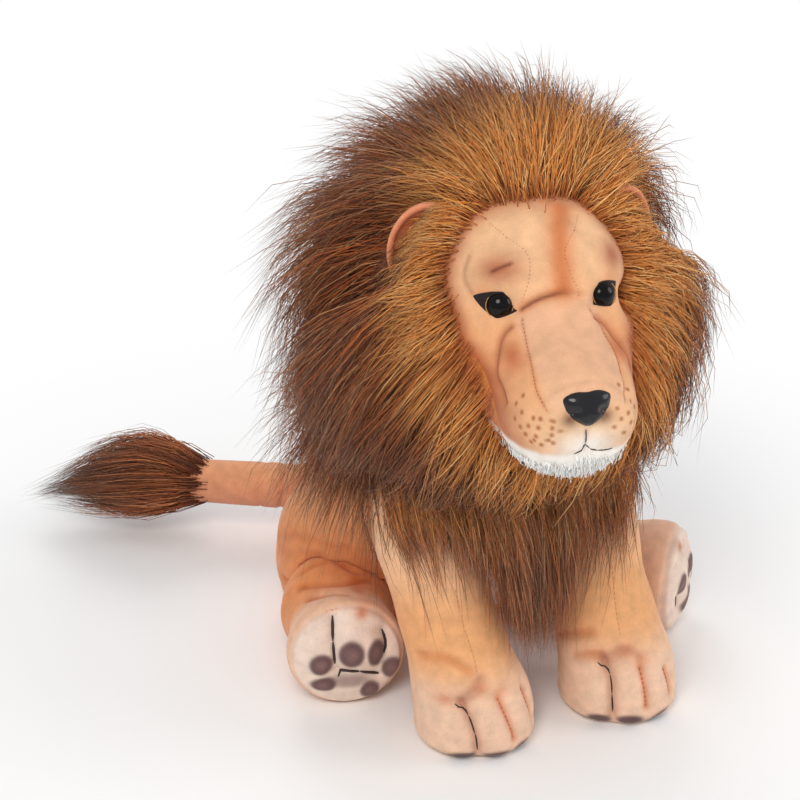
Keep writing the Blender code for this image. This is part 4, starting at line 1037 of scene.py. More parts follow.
paint = np.tile(FOREHEAD_CREAM, (len(own), 1))
paint = sprayed(paint, 0.9 / (1 + np.exp((own[:, 2] - 0.066) / 0.004)), CHEEK_ORANGE)
bridge_edge = np.where(own[:, 0] < 0, 0.0172, 0.0215)
bridge = (1 / (1 + np.exp((np.abs(own[:, 0]) - bridge_edge) / 0.0006))
          / (1 + np.exp((own[:, 2] - 0.0685) / 0.0012))
          / (1 + np.exp((0.036 - own[:, 2]) / 0.002)))
paint = sprayed(paint, bridge * 0.95, BRIDGE_TAN)
paint = sprayed(paint, 0.80 * swell(own, (0.0, -0.1400, 0.0290), (0.034, 0.032, 0.012)), dye(244, 204, 160))
paint = sprayed(paint, 0.88 * along_line(FOREHEAD_STRIPE, 0.0062), STRIPE_ORANGE)
hairline_shade = 0.92 - 0.35 * np.exp(-(around / 40) ** 2)
paint = sprayed(paint, hairline_shade * np.clip((ahead - hairline(around) + 15) / 14, 0, 1) ** 1.6,
                HAIRLINE_RUST)
paint = sprayed(paint, 0.90 * swell(own, (-0.0212, -0.0830, 0.0815), (0.0112, 0.0090, 0.0062)), BROW_RUST)
paint = sprayed(paint, 0.90 * swell(own, (0.0325, -0.0770, 0.0800), (0.0095, 0.0095, 0.0060)), BROW_RUST)
paint = sprayed(paint, 0.45 * swell(mirrored_own, (-0.0300, -0.0860, 0.0720), (0.006, 0.006, 0.004)),
                STRIPE_ORANGE)
for centre in ((-0.0225, -0.1070, 0.0490), (0.0275, -0.1060, 0.0465)):
    paint = sprayed(paint, 0.85 * swell(own, centre, (0.0045, 0.0095, 0.0095)), dye(190, 104, 64))
# Painted shade on the bridge fold, fading out towards its left end: the fold's shadow in orange above it and
# a dark line in the fold itself.
fold_shadow_side = np.clip((0.011 - own[:, 0]) / 0.010, 0, 1)
paint = sprayed(paint, 0.50 * along_line(BRIDGE_FOLD, 0.0026) * fold_shadow_side, STRIPE_ORANGE)
paint = sprayed(paint, 0.85 * along_line(BRIDGE_FOLD, 0.0008) * fold_shadow_side, BROW_BROWN)
paint = sprayed(paint, 0.60 * along_line(CHEEK_CURVE, 0.0006, True), BROW_BROWN)
paint = sprayed(paint, 0.35 * along_line(CHEEK_CURVE, 0.0022, True), BROW_RUST)
for points, width, strength in ((BROW_SLIT, 0.0008, 0.90), (BROW_EDGE, 0.0012, 0.35),
                                (MOUTH_MIDDLE, 0.0007, 0.60)):
    paint = sprayed(paint, strength * along_line(points, width), BROW_BROWN)
paint = sprayed(paint, 0.25 * np.maximum(along_line(BRIDGE_SEAM, 0.0007),
                                         along_line(BRIDGE_SEAM_LEFT, 0.0007)), BROW_BROWN)
paint = sprayed(paint, 0.95 * swell(own, (0.0, -0.1440, 0.0215), (0.0130, 0.012, 0.0075)), LIP_WHITE)
paint = sprayed(paint, (own[:, 1] < -0.09) / (1 + np.exp((own[:, 2] - LIP_LINE) / 0.0006)), LIP_WHITE)
paint = sprayed(paint, 0.90 * swell(mirrored_own, (-0.0078, -0.1425, 0.0352), (0.0036, 0.006, 0.0036)),
                NOSE_MAROON)
smooth_head = before_creases(head)[0]
for spot in np.array([smooth_head.find_nearest(Vector(place))[0] for place in on_head(WHISKER_DOTS)]):
    paint = sprayed(paint, 0.92 * np.exp(-(np.linalg.norm(head_places - spot, axis=1) / 0.00115) ** 4),
                    WHISKER_BROWN)
# Painted shade: dark brown on the cloth behind the hairline, under the mane.
paint = sprayed(paint, np.clip((ahead - hairline(around) - 22) / 10, 0, 1), UNDER_MANE_SHADE)
tint(head, paint)
head.data.materials.append(plush_cloth("face_plush", 1800.0, 120.0))
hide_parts("head_cover", "head_stuffing")
head_tree = tree_of(head)
ladder = stitches("bridge_seam_thread", head, (on_head(BRIDGE_SEAM), on_head(BRIDGE_SEAM_LEFT)),
                  0.0010, 0.0010, 0.00020, dye(176, 96, 60))
brow_thread = stitches("brow_thread", head, (on_head(BROW_DART), on_head(BROW_SEAM),
                                             on_head(flipped(BROW_DART)),
                                             on_head(flipped(BROW_SEAM))), 0.0006, 0.0012, 0.00015,
                                             dye(150, 110, 90))
mouth_thread = stitches("mouth_thread", head, (on_head(MOUTH_MIDDLE), on_head(MOUTH_RIGHT),
                                               on_head(MOUTH_LEFT)),
                        0.0070, 0.0002, 0.00028, DARK_THREAD)
for piece in (head, ladder, brow_thread, mouth_thread):
    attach(piece, "head")

# Each eye is a glossy black dome on a shank, locked behind the face by a washer.
# It sits in an almond of black felt, with a thin gold line painted round the dome.
EYE_SIDE = {-1: 0.0238, 1: 0.0258}
EYE_HEIGHT = 0.0675
EYE_RADIUS = 0.0056
EYE_DOME = 0.0040
LID_INNER = 0.0078
LID_UPPER = 0.0064
LID_LOWER = 0.0064
LID_LIFT = 0.00035
IRIS_RADIUS = 0.0060


LID_OUTERS = {-1: 0.0130, 1: 0.0096}


def seat_on_face(own_point):
    """Where a point of the head's own frame comes to lie on the face, and the cloth's normal there."""
    seat, normal, _, _ = head_tree.find_nearest(Vector(on_head(own_point)))
    return np.array(seat), np.array(normal)


def eye_frame(side):
    seat, normal = seat_on_face((side * EYE_SIDE[side], -0.0915, EYE_HEIGHT))
    outward = on_head((side * 0.0334, -0.0841, 0.0690)) - on_head((side * EYE_SIDE[side], -0.0915,
                                                                   EYE_HEIGHT))
    outward = outward - normal * (outward @ normal)
    outward = outward / np.linalg.norm(outward)
    upward = np.cross(outward, normal) * (1 if np.cross(outward, normal)[2] > 0 else -1)
    return seat, normal, outward, upward


def gloss(name, colour, roughness, coat):
    """Moulded plastic under a clear coat, with faint waves left by the mould."""
    made = bpy.data.materials.new(name)
    made.use_nodes = True
    nodes = made.node_tree.nodes
    links = made.node_tree.links
    plastic = nodes["Principled BSDF"]
    plastic.inputs["Specular IOR Level"].default_value = 0.12
    plastic.inputs["Coat Weight"].default_value = coat
    plastic.inputs["Coat Roughness"].default_value = 0.04
    place = nodes.new("ShaderNodeTexCoord")
    wave = nodes.new("ShaderNodeTexNoise")
    wave.inputs["Scale"].default_value = 260.0
    links.new(place.outputs["Object"], wave.inputs["Vector"])
    ramp = nodes.new("ShaderNodeValToRGB")
    ramp.color_ramp.elements[0].color = (*(colour * 0.8), 1)
    ramp.color_ramp.elements[1].color = (*(colour * 1.2), 1)
    links.new(wave.outputs["Fac"], ramp.inputs["Fac"])
    links.new(ramp.outputs["Color"], plastic.inputs["Base Color"])
    level = nodes.new("ShaderNodeMapRange")
    level.inputs["To Min"].default_value = roughness * 0.8
    level.inputs["To Max"].default_value = roughness * 1.3
    links.new(wave.outputs["Fac"], level.inputs["Value"])
    links.new(level.outputs["Result"], plastic.inputs["Roughness"])
    return made


def felt(name, colour):
    """Pressed felt: matt, with a tangle of short fibres."""
    made = bpy.data.materials.new(name)
    made.use_nodes = True
    nodes = made.node_tree.nodes
    links = made.node_tree.links
    cloth = nodes["Principled BSDF"]
    cloth.inputs["Roughness"].default_value = 0.95
    cloth.inputs["Sheen Weight"].default_value = 0.15
    place = nodes.new("ShaderNodeTexCoord")
    tangle = nodes.new("ShaderNodeTexNoise")
    tangle.inputs["Scale"].default_value = 2400.0
    tangle.inputs["Detail"].default_value = 4.0
    links.new(place.outputs["Object"], tangle.inputs["Vector"])
    ramp = nodes.new("ShaderNodeValToRGB")
    ramp.color_ramp.elements[0].color = (*(colour * 0.6), 1)
    ramp.color_ramp.elements[1].color = (*(colour * 1.5), 1)
    links.new(tangle.outputs["Fac"], ramp.inputs["Fac"])
    links.new(ramp.outputs["Color"], cloth.inputs["Base Color"])
    nap = nodes.new("ShaderNodeBump")
    nap.inputs["Strength"].default_value = 0.5
    nap.inputs["Distance"].default_value = 0.0003
    links.new(tangle.outputs["Fac"], nap.inputs["Height"])
    links.new(nap.outputs["Normal"], cloth.inputs["Normal"])
    return made


def eye(side_name, side):
    seat, normal, outward, upward = eye_frame(side)

    def dome_place(turn_share, share):
        polar = share * math.pi
        first, second = ring_point(turn_share, EYE_RADIUS * np.sin(polar), EYE_RADIUS * np.sin(polar), 2)
        return (seat + np.outer(first, outward) + np.outer(second, upward)
                + np.outer(EYE_DOME * np.cos(polar), normal))

    dome = rolled("eye_dome_" + side_name, 64, 32, dome_place)
    dome.data.materials.append(gloss("eye_gloss_" + side_name, dye(9, 5, 4), 0.08, 0.22))
    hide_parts("eye_" + side_name)

    almond = bmesh.new()
    bmesh.ops.create_grid(almond, x_segments=36, y_segments=14, size=1)
    for corner in almond.verts:
        across = corner.co.x
        reach = LID_OUTERS[side] if across > 0 else LID_INNER
        height = (LID_UPPER if corner.co.y > 0 else LID_LOWER) * (1 - abs(across) ** 1.35)
        flat = seat + outward * across * reach + upward * (corner.co.y * height + 0.0012 * across)
        place, lift, _, _ = head_tree.find_nearest(Vector(flat))
        corner.co = place + lift * LID_LIFT
    bmesh.ops.remove_doubles(almond, verts=almond.verts, dist=WELD)
    bmesh.ops.recalc_face_normals(almond, faces=almond.faces)
    bmesh.ops.solidify(almond, geom=almond.faces[:], thickness=0.0007)
    bmesh.ops.recalc_face_normals(almond, faces=almond.faces)
    lid = placed("eyelid_felt_" + side_name, almond)
    lid.data.materials.append(felt("eyelid_felt_" + side_name, dye(30, 20, 18)))
    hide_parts("eyelid_" + side_name)

    def iris_place(turn_share, share):
        bend = (share * 1.25 - 1.10) * math.pi
        ring = seat + np.outer(np.cos(bend) * IRIS_RADIUS, outward) + np.outer(np.sin(bend) * IRIS_RADIUS,
                                                                               upward)
        spoke = np.outer(np.cos(bend), outward) + np.outer(np.sin(bend), upward)
        thick = 0.00024 * np.sqrt(np.clip(1 - (2 * share - 1) ** 8, 0, 1))
        first, second = ring_point(turn_share, thick, thick, 2)
        return ring + spoke * first[:, None] + np.outer(second + 0.0010, normal)

    iris = rolled("iris_line_" + side_name, 8, 60, iris_place)
    iris.data.materials.append(gloss("iris_gold_" + side_name, dye(188, 138, 84), 0.35, 0.4))
    for piece in (dome, lid, iris):
        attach(piece, "head")


for side_name, side in SIDES:
    eye(side_name, side)

# The nose is one moulding of glossy black plastic, wide on top and narrow below.
# Two nostrils are hollowed in its front, and its shank is locked behind the muzzle by a washer.
NOSE_MIDDLE = np.array((0.0, -0.1410, 0.0388))
NOSE_TILT = math.radians(24)
NOSE_HALF_WIDTH = 0.0128
NOSE_HALF_HEIGHT = 0.0082
NOSE_HALF_DEPTH = 0.0066


def nose_place(turn_share, share):
    polar = share * math.pi
    unit_across = np.sin(polar) * np.cos(turn_share * math.tau)
    unit_up = np.cos(polar)
    unit_out = np.sin(polar) * np.sin(turn_share * math.tau)
    width = 0.34 + 0.66 * np.clip((unit_up + 0.95) / 1.45, 0, 1) ** 0.85
    across = np.sign(unit_across) * np.abs(unit_across) ** 0.86 * width
    upward = np.sign(unit_up) * np.abs(unit_up) ** 0.8
    upward = upward - 0.10 * np.exp(-(across / 0.26) ** 2) * (unit_up > 0) * unit_up
    outward = np.sign(unit_out) * np.abs(unit_out) ** 0.85
    front = np.clip(outward, 0, 1)
    hollow = np.exp(-((np.abs(across) - 0.54) / 0.20) ** 2 - ((upward + 0.24) / 0.22) ** 2)
    groove = np.exp(-(across / 0.09) ** 2) * np.clip(-upward, 0, 1)
    outward = outward - front * (0.50 * hollow + 0.10 * groove)
    return on_head(NOSE_MIDDLE + np.column_stack((
        across * NOSE_HALF_WIDTH,
        upward * NOSE_HALF_HEIGHT * math.sin(NOSE_TILT) - outward * NOSE_HALF_DEPTH * math.cos(NOSE_TILT),
        upward * NOSE_HALF_HEIGHT * math.cos(NOSE_TILT) + outward * NOSE_HALF_DEPTH * math.sin(NOSE_TILT))))


nose = rolled("nose_moulding", 110, 76, nose_place)
nose.data.materials.append(gloss("nose_gloss", dye(30, 29, 32), 0.24, 0.45))
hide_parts("nose")
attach(nose, "head")

# The washers that lock the eyes and the nose are plain pressed discs of clear nylon.
# They are out of sight behind the face.
for washer in ("eye_left_washer", "eye_right_washer", "nose_washer"):
    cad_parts[washer].data.materials.clear()
    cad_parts[washer].data.materials.append(gloss(washer + "_nylon", dye(226, 226, 222), 0.45, 0.1))

# The ears are small bowls of orange plush on the sides of the head, with a painted highlight along their
# rims.
# They are sewn to the head cover before the mane is, so each stands in a parting of the fur.
EAR_MIDDLE = {-1: np.array((-0.0445, -0.0480, 0.0790)), 1: np.array((0.0500, -0.0470, 0.0775))}
EAR_HALF_WIDTH = 0.0185
EAR_HALF_LENGTH = 0.0240
EAR_DEPTH = 0.009
EAR_CLOTH = 0.003
EAR_OUTWARD = math.radians(32)
EAR_LEAN = math.radians(20)
EAR_RIM_SHARE = 0.46
EAR_SALMON = dye(222, 128, 88)
EAR_RIM_HIGHLIGHT = dye(236, 160, 122)
EAR_INSIDE = dye(208, 120, 78)
EAR_SHOWN = {-1: 0.30, 1: 0.52}


def ear_frame(side):
    """The ear's middle, where it faces, and its long and short ways, in the head's own frame."""
    facing = np.array((side * math.sin(EAR_OUTWARD), -math.cos(EAR_OUTWARD), 0.0))
    across = np.array((side * math.cos(EAR_OUTWARD), math.sin(EAR_OUTWARD), 0.0))
    upward = np.array((0.0, 0.0, 1.0))
    long_way = upward * math.cos(EAR_LEAN) - across * math.sin(EAR_LEAN)
    short_way = across * math.cos(EAR_LEAN) + upward * math.sin(EAR_LEAN)
    return EAR_MIDDLE[side], facing, long_way, short_way


def ear_place(side):
    middle, facing, long_way, short_way = ear_frame(side)
    cloth = EAR_CLOTH / EAR_HALF_WIDTH

    def place_of(turn_share, share):
        back = np.clip(share / EAR_RIM_SHARE, 0, 1) * math.pi / 2
        hollow = np.clip((1 - share) / EAR_RIM_SHARE, 0, 1) * math.pi / 2
        edge = np.clip((share - EAR_RIM_SHARE) / (1 - 2 * EAR_RIM_SHARE), 0, 1) * math.pi
        parts = [share < EAR_RIM_SHARE, share <= 1 - EAR_RIM_SHARE]
        out = np.select(parts, [np.sin(back), 1 - cloth / 2 * (1 - np.cos(edge))],
                        (1 - cloth) * np.sin(hollow))
        rise = np.select(parts, [-EAR_DEPTH * np.cos(back), EAR_CLOTH / 2 * np.sin(edge)],
                         (EAR_CLOTH - EAR_DEPTH) * np.cos(hollow))
        angle = turn_share * math.tau
        return on_head(middle + long_way * (out * np.cos(angle) * EAR_HALF_LENGTH)[:, None]
                       + short_way * (out * np.sin(angle) * EAR_HALF_WIDTH)[:, None] + facing
                       * rise[:, None])

    return place_of


def ear(side_name, side):
    bowl = rolled("ear_cover_" + side_name, 72, 60, ear_place(side))
    middle, facing, long_way, short_way = ear_frame(side)
    from_ear = in_head(places_of(bowl)) - middle
    out = np.hypot(from_ear @ long_way / EAR_HALF_LENGTH, from_ear @ short_way / EAR_HALF_WIDTH)
    inside = np.clip((0.84 - out) / 0.1, 0, 1) * ((in_head(NECK + normals_of(bowl)) @ facing) > 0.2)
    # Painted highlight: the rim is coloured lighter than the bowl.
    colours = sprayed(np.tile(EAR_SALMON, (len(out), 1)), np.clip((out - 0.86) / 0.12, 0, 1) * 0.8, EAR_RIM_HIGHLIGHT)
    tint(bowl, sprayed(colours, inside, EAR_INSIDE))
    bowl.data.materials.append(plush_cloth("ear_plush_" + side_name))
    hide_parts("ear_" + side_name)
    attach(bowl, "head")


for side_name, side in SIDES:
    ear(side_name, side)


# The mane is long acrylic fur on a knitted backing, sewn round the face from crown to chin.
# Its pile is golden near the face and dark brown behind, with grey tips, and it is brushed out and back.
FIBRE_SIDES = 3
FIBRE_RINGS = 4
MANE_CENTRE = np.array((0.0, 0.0, 0.032))
MANE_RADII = np.array((0.109, 0.095, 0.112))
RUFF_WIDTH = 30
CROWN_HALF_ANGLE = 38
CHEEK_ANGLE = 136
BACK_END = 150
NAPE_END = 176
BEARD_FLOOR = 0.126
MANE_DROOP = 46
MANE_SWEEP = 8
TIP_SAG = 0.013
NAPE_PULL = 1.1
NAPE_WAY = np.array((0.0, 0.62, -0.78))
# Angle round the face from the top, and how far the golden pile reaches from the face there, in metres
GOLD_REACH = ((-180, 0.058), (-136, 0.052), (-90, 0.038), (-58, 0.030), (-38, 0.036), (0, 0.048),
              (48, 0.058),
              (90, 0.060), (136, 0.058), (180, 0.058))
GOLD_ROOT = dye(202, 124, 60)
GOLDS = ((dye(234, 160, 84), 5), (dye(216, 136, 64), 3), (dye(244, 190, 122), 2.5))
GOLD_TIPS = ((dye(240, 192, 130), 4), (dye(224, 152, 80), 4), (dye(150, 98, 58), 2))
FACE_RUST = dye(192, 108, 54)
DARK_ROOT = dye(98, 54, 34)
DARKS = ((dye(148, 84, 48), 5), (dye(180, 94, 44), 4), (dye(118, 68, 44), 4), (dye(200, 144, 98), 2.4))
DARK_TIPS = ((dye(136, 84, 54), 3), (dye(206, 164, 128), 3.5), (dye(84, 66, 56), 4), (dye(160, 88, 46), 2))
STRAY_BLACK = dye(64, 48, 42)
STRAY_SHARE = 0.07
CURL = 0.85
WAVES = 4.4
chance = np.random.default_rng(11)


def fibre_form():
    """One straight fibre along Z, three-sided and closed, a unit to each ring: its corners and faces."""
    form = bmesh.new()
    ring = bmesh.ops.create_circle(form, cap_ends=True, radius=1, segments=FIBRE_SIDES)["verts"]
    edges = list({edge for corner in ring for edge in corner.link_edges})
    for _ in range(FIBRE_RINGS):
        grown = bmesh.ops.extrude_edge_only(form, edges=edges)["geom"]
        corners = [part for part in grown if isinstance(part, bmesh.types.BMVert)]
        edges = [part for part in grown if isinstance(part, bmesh.types.BMEdge)
                 and all(corner in corners for corner in part.verts)]
        bmesh.ops.translate(form, verts=corners, vec=(0, 0, 1))
    bmesh.ops.pointmerge(form, verts=corners, merge_co=(0, 0, FIBRE_RINGS))
    bmesh.ops.recalc_face_normals(form, faces=form.faces)
    form.verts.index_update()
    places = np.array([corner.co for corner in form.verts])
    faces = [[corner.index for corner in face.verts] for face in form.faces]
    form.free()
    return places, faces


def fibre_unwrap(places, faces):
    """Where each face corner of a fibre lies in that fibre's own cell of the pattern sheet."""
    turns = (np.degrees(np.arctan2(places[:, 1], places[:, 0])) / 360) % 1
    found = []
    for face in faces:
        wraps = turns[face].max() - turns[face].min() > 0.5
        for corner in face:
            across = turns[corner] + (1 if wraps and turns[corner] < 0.5 else 0)
            found.append((across / 1.4, places[corner, 2] / FIBRE_RINGS))
    return np.array(found)


fibre_places, fibre_faces = fibre_form()
fibre_sheet = fibre_unwrap(fibre_places, fibre_faces)
fibre_steps = np.rint(fibre_places[:, 2]).astype(int)


def curved(roots, bends, tips):
    """The points that each fibre follows, on a smooth curve from root to tip."""
    share = np.linspace(0, 1, FIBRE_RINGS + 1)[None, :, None]
    return ((1 - share) ** 2 * roots[:, None] + 2 * share * (1 - share) * bends[:, None]
            + share ** 2 * tips[:, None])


def in_locks(lines, per_lock, spread, gather, uneven):
    """Fibres in loose locks: apart at their roots, drawn together towards their tips, of uneven length."""
    count = len(lines) * per_lock
    lines = np.repeat(lines, per_lock, axis=0)
    share = np.linspace(0, 1, FIBRE_RINGS + 1)[None, :, None]
    length = chance.uniform(1 - uneven, 1 + uneven * 0.5, (count, 1, 1))
    lines = lines[:, :1] + (lines - lines[:, :1]) * length
    apart = chance.normal(size=(count, 1, 3)) * spread
    astray = chance.normal(size=(count, 1, 3)) * spread
    locks = count // per_lock
    start = np.repeat(chance.uniform(0, math.tau, (locks, 1, 1)), per_lock,
                      axis=0) + chance.normal(size=(count, 1, 1)) * 0.4
    wave_way = np.repeat(chance.normal(size=(locks, 1, 3)), per_lock,
                         axis=0) + chance.normal(size=(count, 1, 3)) * 0.35
    wave = (np.sin(start + share * WAVES) - np.sin(start)) * wave_way * spread * CURL
    return lines + apart * (1 - gather * share) + astray * share ** 2 + wave * share


def fur(name, lines, thick, colours, turn):
    """Fibres along lines. colours are their root, near, far and tip dyes; turn is where near becomes far."""
    count = len(lines)
    heading = np.gradient(lines, axis=1)
    heading /= np.maximum(np.linalg.norm(heading, axis=2, keepdims=True), WELD)
    guide = np.cross(lines[:, -1] - lines[:, 0], chance.normal(size=(count, 3)))[:, None]
    sideways = np.cross(heading, guide)
    sideways /= np.maximum(np.linalg.norm(sideways, axis=2, keepdims=True), WELD)
    upward = np.cross(heading, sideways)
    share = fibre_steps / FIBRE_RINGS
    width = thick[:, None] * (1 - 0.75 * share ** 1.5)[None, :]
    places = (lines[:, fibre_steps] + sideways[:, fibre_steps] * (fibre_places[:, 0] * width)[:, :, None]
              + upward[:, fibre_steps] * (fibre_places[:, 1] * width)[:, :, None])
    root, near, far, tip = (np.broadcast_to(dyes, (count, 3))[:, None] for dyes in colours)
    along = share[None, :, None]
    shades = root + (near - root) * np.clip(along / 0.25, 0, 1)
    shades = shades + (far - shades) * np.clip((along - turn[:, None, None]) / 0.2 + 0.5, 0, 1)
    shades = shades + (tip - shades) * np.clip((along - 0.6) / 0.4, 0, 1)
    corner_count = len(fibre_places)
    loops = np.concatenate([np.array(face) for face in fibre_faces])
    sizes = np.array([len(face) for face in fibre_faces])
    starts = np.concatenate(((0,), np.cumsum(sizes)[:-1]))
    fibres = np.arange(count)
    mesh = bpy.data.meshes.new(name)
    mesh.vertices.add(count * corner_count)
    mesh.vertices.foreach_set("co", places.astype(np.float32).ravel())
    mesh.loops.add(count * len(loops))
    mesh.loops.foreach_set("vertex_index", (loops[None] + fibres[:, None]
                                            * corner_count).astype(np.int32).ravel())
    mesh.polygons.add(count * len(sizes))
    mesh.polygons.foreach_set("loop_start", (starts[None] + fibres[:, None]
                                             * len(loops)).astype(np.int32).ravel())
    cells = math.ceil(math.sqrt(count))
    cell = np.column_stack((fibres % cells, fibres // cells))
    sheet = mesh.uv_layers.new(name="OFBake")
    spots = (cell[:, None] + 0.1 + 0.8 * fibre_sheet[None]) / cells
    sheet.data.foreach_set("uv", spots.astype(np.float32).ravel())
    mesh.update(calc_edges=True)
    mesh.shade_smooth()
    made = bpy.data.objects.new(name, mesh)
    bpy.context.scene.collection.objects.link(made)
    tint(made, np.clip(shades, 0, 1).reshape(-1, 3))
    made.data.materials.append(fur_finish(name))
    return made


def fur_finish(name):
    """Acrylic fibre: each fibre has its own dye, with a soft shine along it."""
    made = bpy.data.materials.new(name)
    made.use_nodes = True
    nodes = made.node_tree.nodes
    links = made.node_tree.links
    fibre = nodes["Principled BSDF"]
    fibre.inputs["Roughness"].default_value = 0.7
    fibre.inputs["Specular IOR Level"].default_value = 0.15
    fibre.inputs["Sheen Weight"].default_value = 0.08
    own = nodes.new("ShaderNodeAttribute")
    own.attribute_name = "tint"
    place = nodes.new("ShaderNodeTexCoord")
    fleck = nodes.new("ShaderNodeTexNoise")
    fleck.inputs["Scale"].default_value = 420.0
    links.new(place.outputs["Object"], fleck.inputs["Vector"])
    level = nodes.new("ShaderNodeMapRange")
    level.inputs["From Min"].default_value = 0.3
    level.inputs["From Max"].default_value = 0.7
    level.inputs["To Min"].default_value = 0.82
    level.inputs["To Max"].default_value = 1.16
    links.new(fleck.outputs["Fac"], level.inputs["Value"])
    shade = nodes.new("ShaderNodeVectorMath")
    shade.operation = "SCALE"
    links.new(own.outputs["Color"], shade.inputs[0])
    links.new(level.outputs["Result"], shade.inputs["Scale"])
    links.new(shade.outputs["Vector"], fibre.inputs["Base Color"])
    return made


def chosen(count, picks):
    """A dye for each fibre, drawn from several with their odds."""
    odds = np.array([odd for _, odd in picks])
    index = chance.choice(len(picks), size=count, p=odds / odds.sum())
    return np.array([colour for colour, _ in picks])[index]


def kept_clear(lines, trees, lift):
    """Lays fibres on top of the cloth under them, from a little past their roots on."""
    for tree in trees:
        for line in lines:
            for index in range(1, FIBRE_RINGS + 1):
                place = Vector(line[index])
                near, normal, _, _ = tree.find_nearest(place, 0.03)
                if near is not None and (place - near).dot(normal) < lift:
                    line[index] = near + normal * lift
    return lines


def face_ways(around, ahead):
    """Directions from the head's middle: around the face from its top, and ahead from its nose."""
    around = np.radians(around)
    ahead = np.radians(ahead)
    return np.column_stack((np.sin(ahead) * np.sin(around), -np.cos(ahead), np.sin(ahead) * np.cos(around)))


def mane_reach(ways):
    """How far the mane reaches from the head's middle in each direction."""
    start = (HEAD_MIDDLE - MANE_CENTRE) / MANE_RADII
    run = ways / MANE_RADII
    square = (run ** 2).sum(axis=1)
    half = run @ start
    return (-half + np.sqrt(half ** 2 - square * (start @ start - 1))) / square


def head_reach(ways):
    """How far the head's own cloth is from its middle in each direction."""
    middle = Vector(on_head(HEAD_MIDDLE))
    found = []
    for way in on_head(ways) - NECK:
        hit, _, _, distance = head_tree.ray_cast(middle, Vector(way))
        found.append(distance if hit else HEAD_HALF_WIDTH)
    return np.array(found)


def drift(places, scale, seed):
    """A slow change from place to place, from -1 to 1, so that neighbouring locks lean alike."""
    waves = np.random.default_rng(seed).normal(size=(5, 3)) / scale
    return np.sin(places @ waves.T + np.arange(5)).sum(axis=1) / 3


def cut_before_ears(lines):
    """Trims fibres that would hide the ears' outer rims, in the head's frame; drops what stays in front."""
    keep = np.ones(len(lines))
    for _, side in SIDES:
        middle, facing, long_way, short_way = ear_frame(side)
        view = np.array((side * math.sin(math.radians(20)), -math.cos(math.radians(20)), 0.35))
        view /= np.linalg.norm(view)
        for cut in (1.0, 0.85, 0.7, 0.55, 0.4, 0.28, 0.0):
            shorter = lines[:, :1] + (lines - lines[:, :1]) * np.minimum(keep, cut)[:, None, None]
            points = np.concatenate((shorter, (shorter[:, 1:] + shorter[:, :-1]) / 2), axis=1)
            from_ear = points - middle
            ahead = from_ear @ facing
            from_ear = from_ear - view * (ahead / (view @ facing))[:, :, None]
            across = from_ear @ short_way / EAR_HALF_WIDTH
            aside = np.hypot(from_ear @ long_way / EAR_HALF_LENGTH, across)
            hides = ((ahead > -EAR_DEPTH - 0.001) & (aside < 1.05) & (across > EAR_SHOWN[side])).any(axis=1)
            keep = np.where(hides & (keep >= cut), cut - 0.001, keep)
    lines = lines[:, :1] + (lines - lines[:, :1]) * np.clip(keep, 0, 1)[:, None, None]
    return lines, keep > 0.25


def mane_roots(count, around_low, around_high, ahead_low, ahead_high):
    """Even rooting over a zone of the head, between two edges given by the angle round the face."""
    around = chance.uniform(around_low, around_high, count)
    around = np.where(around > 180, around - 360, around)
    low = np.cos(np.radians(ahead_low(np.abs(around))))
    high = np.cos(np.radians(ahead_high(np.abs(around))))
    return around, np.degrees(np.arccos(chance.uniform(high, low)))


def mane_locks(around, ahead):
    """The lie of each lock, in the head's own frame: out from the face, back, and down at the sides."""
    line = hairline(around)
    swept = np.clip((ahead - line) / (NAPE_END - line), 0, 1)
    root_ways = face_ways(around, ahead)
    roots = HEAD_MIDDLE + root_ways * (head_reach(root_ways) - 0.001)[:, None]
    sideways = np.abs(np.sin(np.radians(around)))
    start_ahead = 80 - 20 * np.clip((np.abs(around) - 120) / 40, 0, 1)
    end_ahead = start_ahead + (NAPE_END + 2 - start_ahead) * swept ** 0.92
    end_ahead = end_ahead + MANE_SWEEP * (1 - swept) + drift(roots, 0.016,
                                                             1) * 9 + chance.normal(size=len(around)) * 4
    end_ahead = np.maximum(end_ahead, ahead + 7)
    end_around = around + np.sign(around) * sideways ** 2 * MANE_DROOP * (1 - swept * 0.4)
    end_around = end_around + drift(roots, 0.014, 2) * 11 + chance.normal(size=len(around)) * 5
    end_ways = face_ways(end_around, end_ahead)
    end_ways = end_ways + np.outer(NAPE_PULL * swept ** 1.5, NAPE_WAY)
    end_ways /= np.linalg.norm(end_ways, axis=1, keepdims=True)
    reach = mane_reach(end_ways)
    tips = HEAD_MIDDLE + end_ways * (reach * (1.02 - 0.20 * chance.uniform(0, 1, len(around)) ** 2))[:, None]
    middle_ways = face_ways(around * 0.60 + end_around * 0.40, ahead * 0.62 + end_ahead * 0.38)
    bends = HEAD_MIDDLE + middle_ways * (0.32 * head_reach(root_ways) + 0.68 * reach)[:, None]
    return curved(roots, bends, tips)


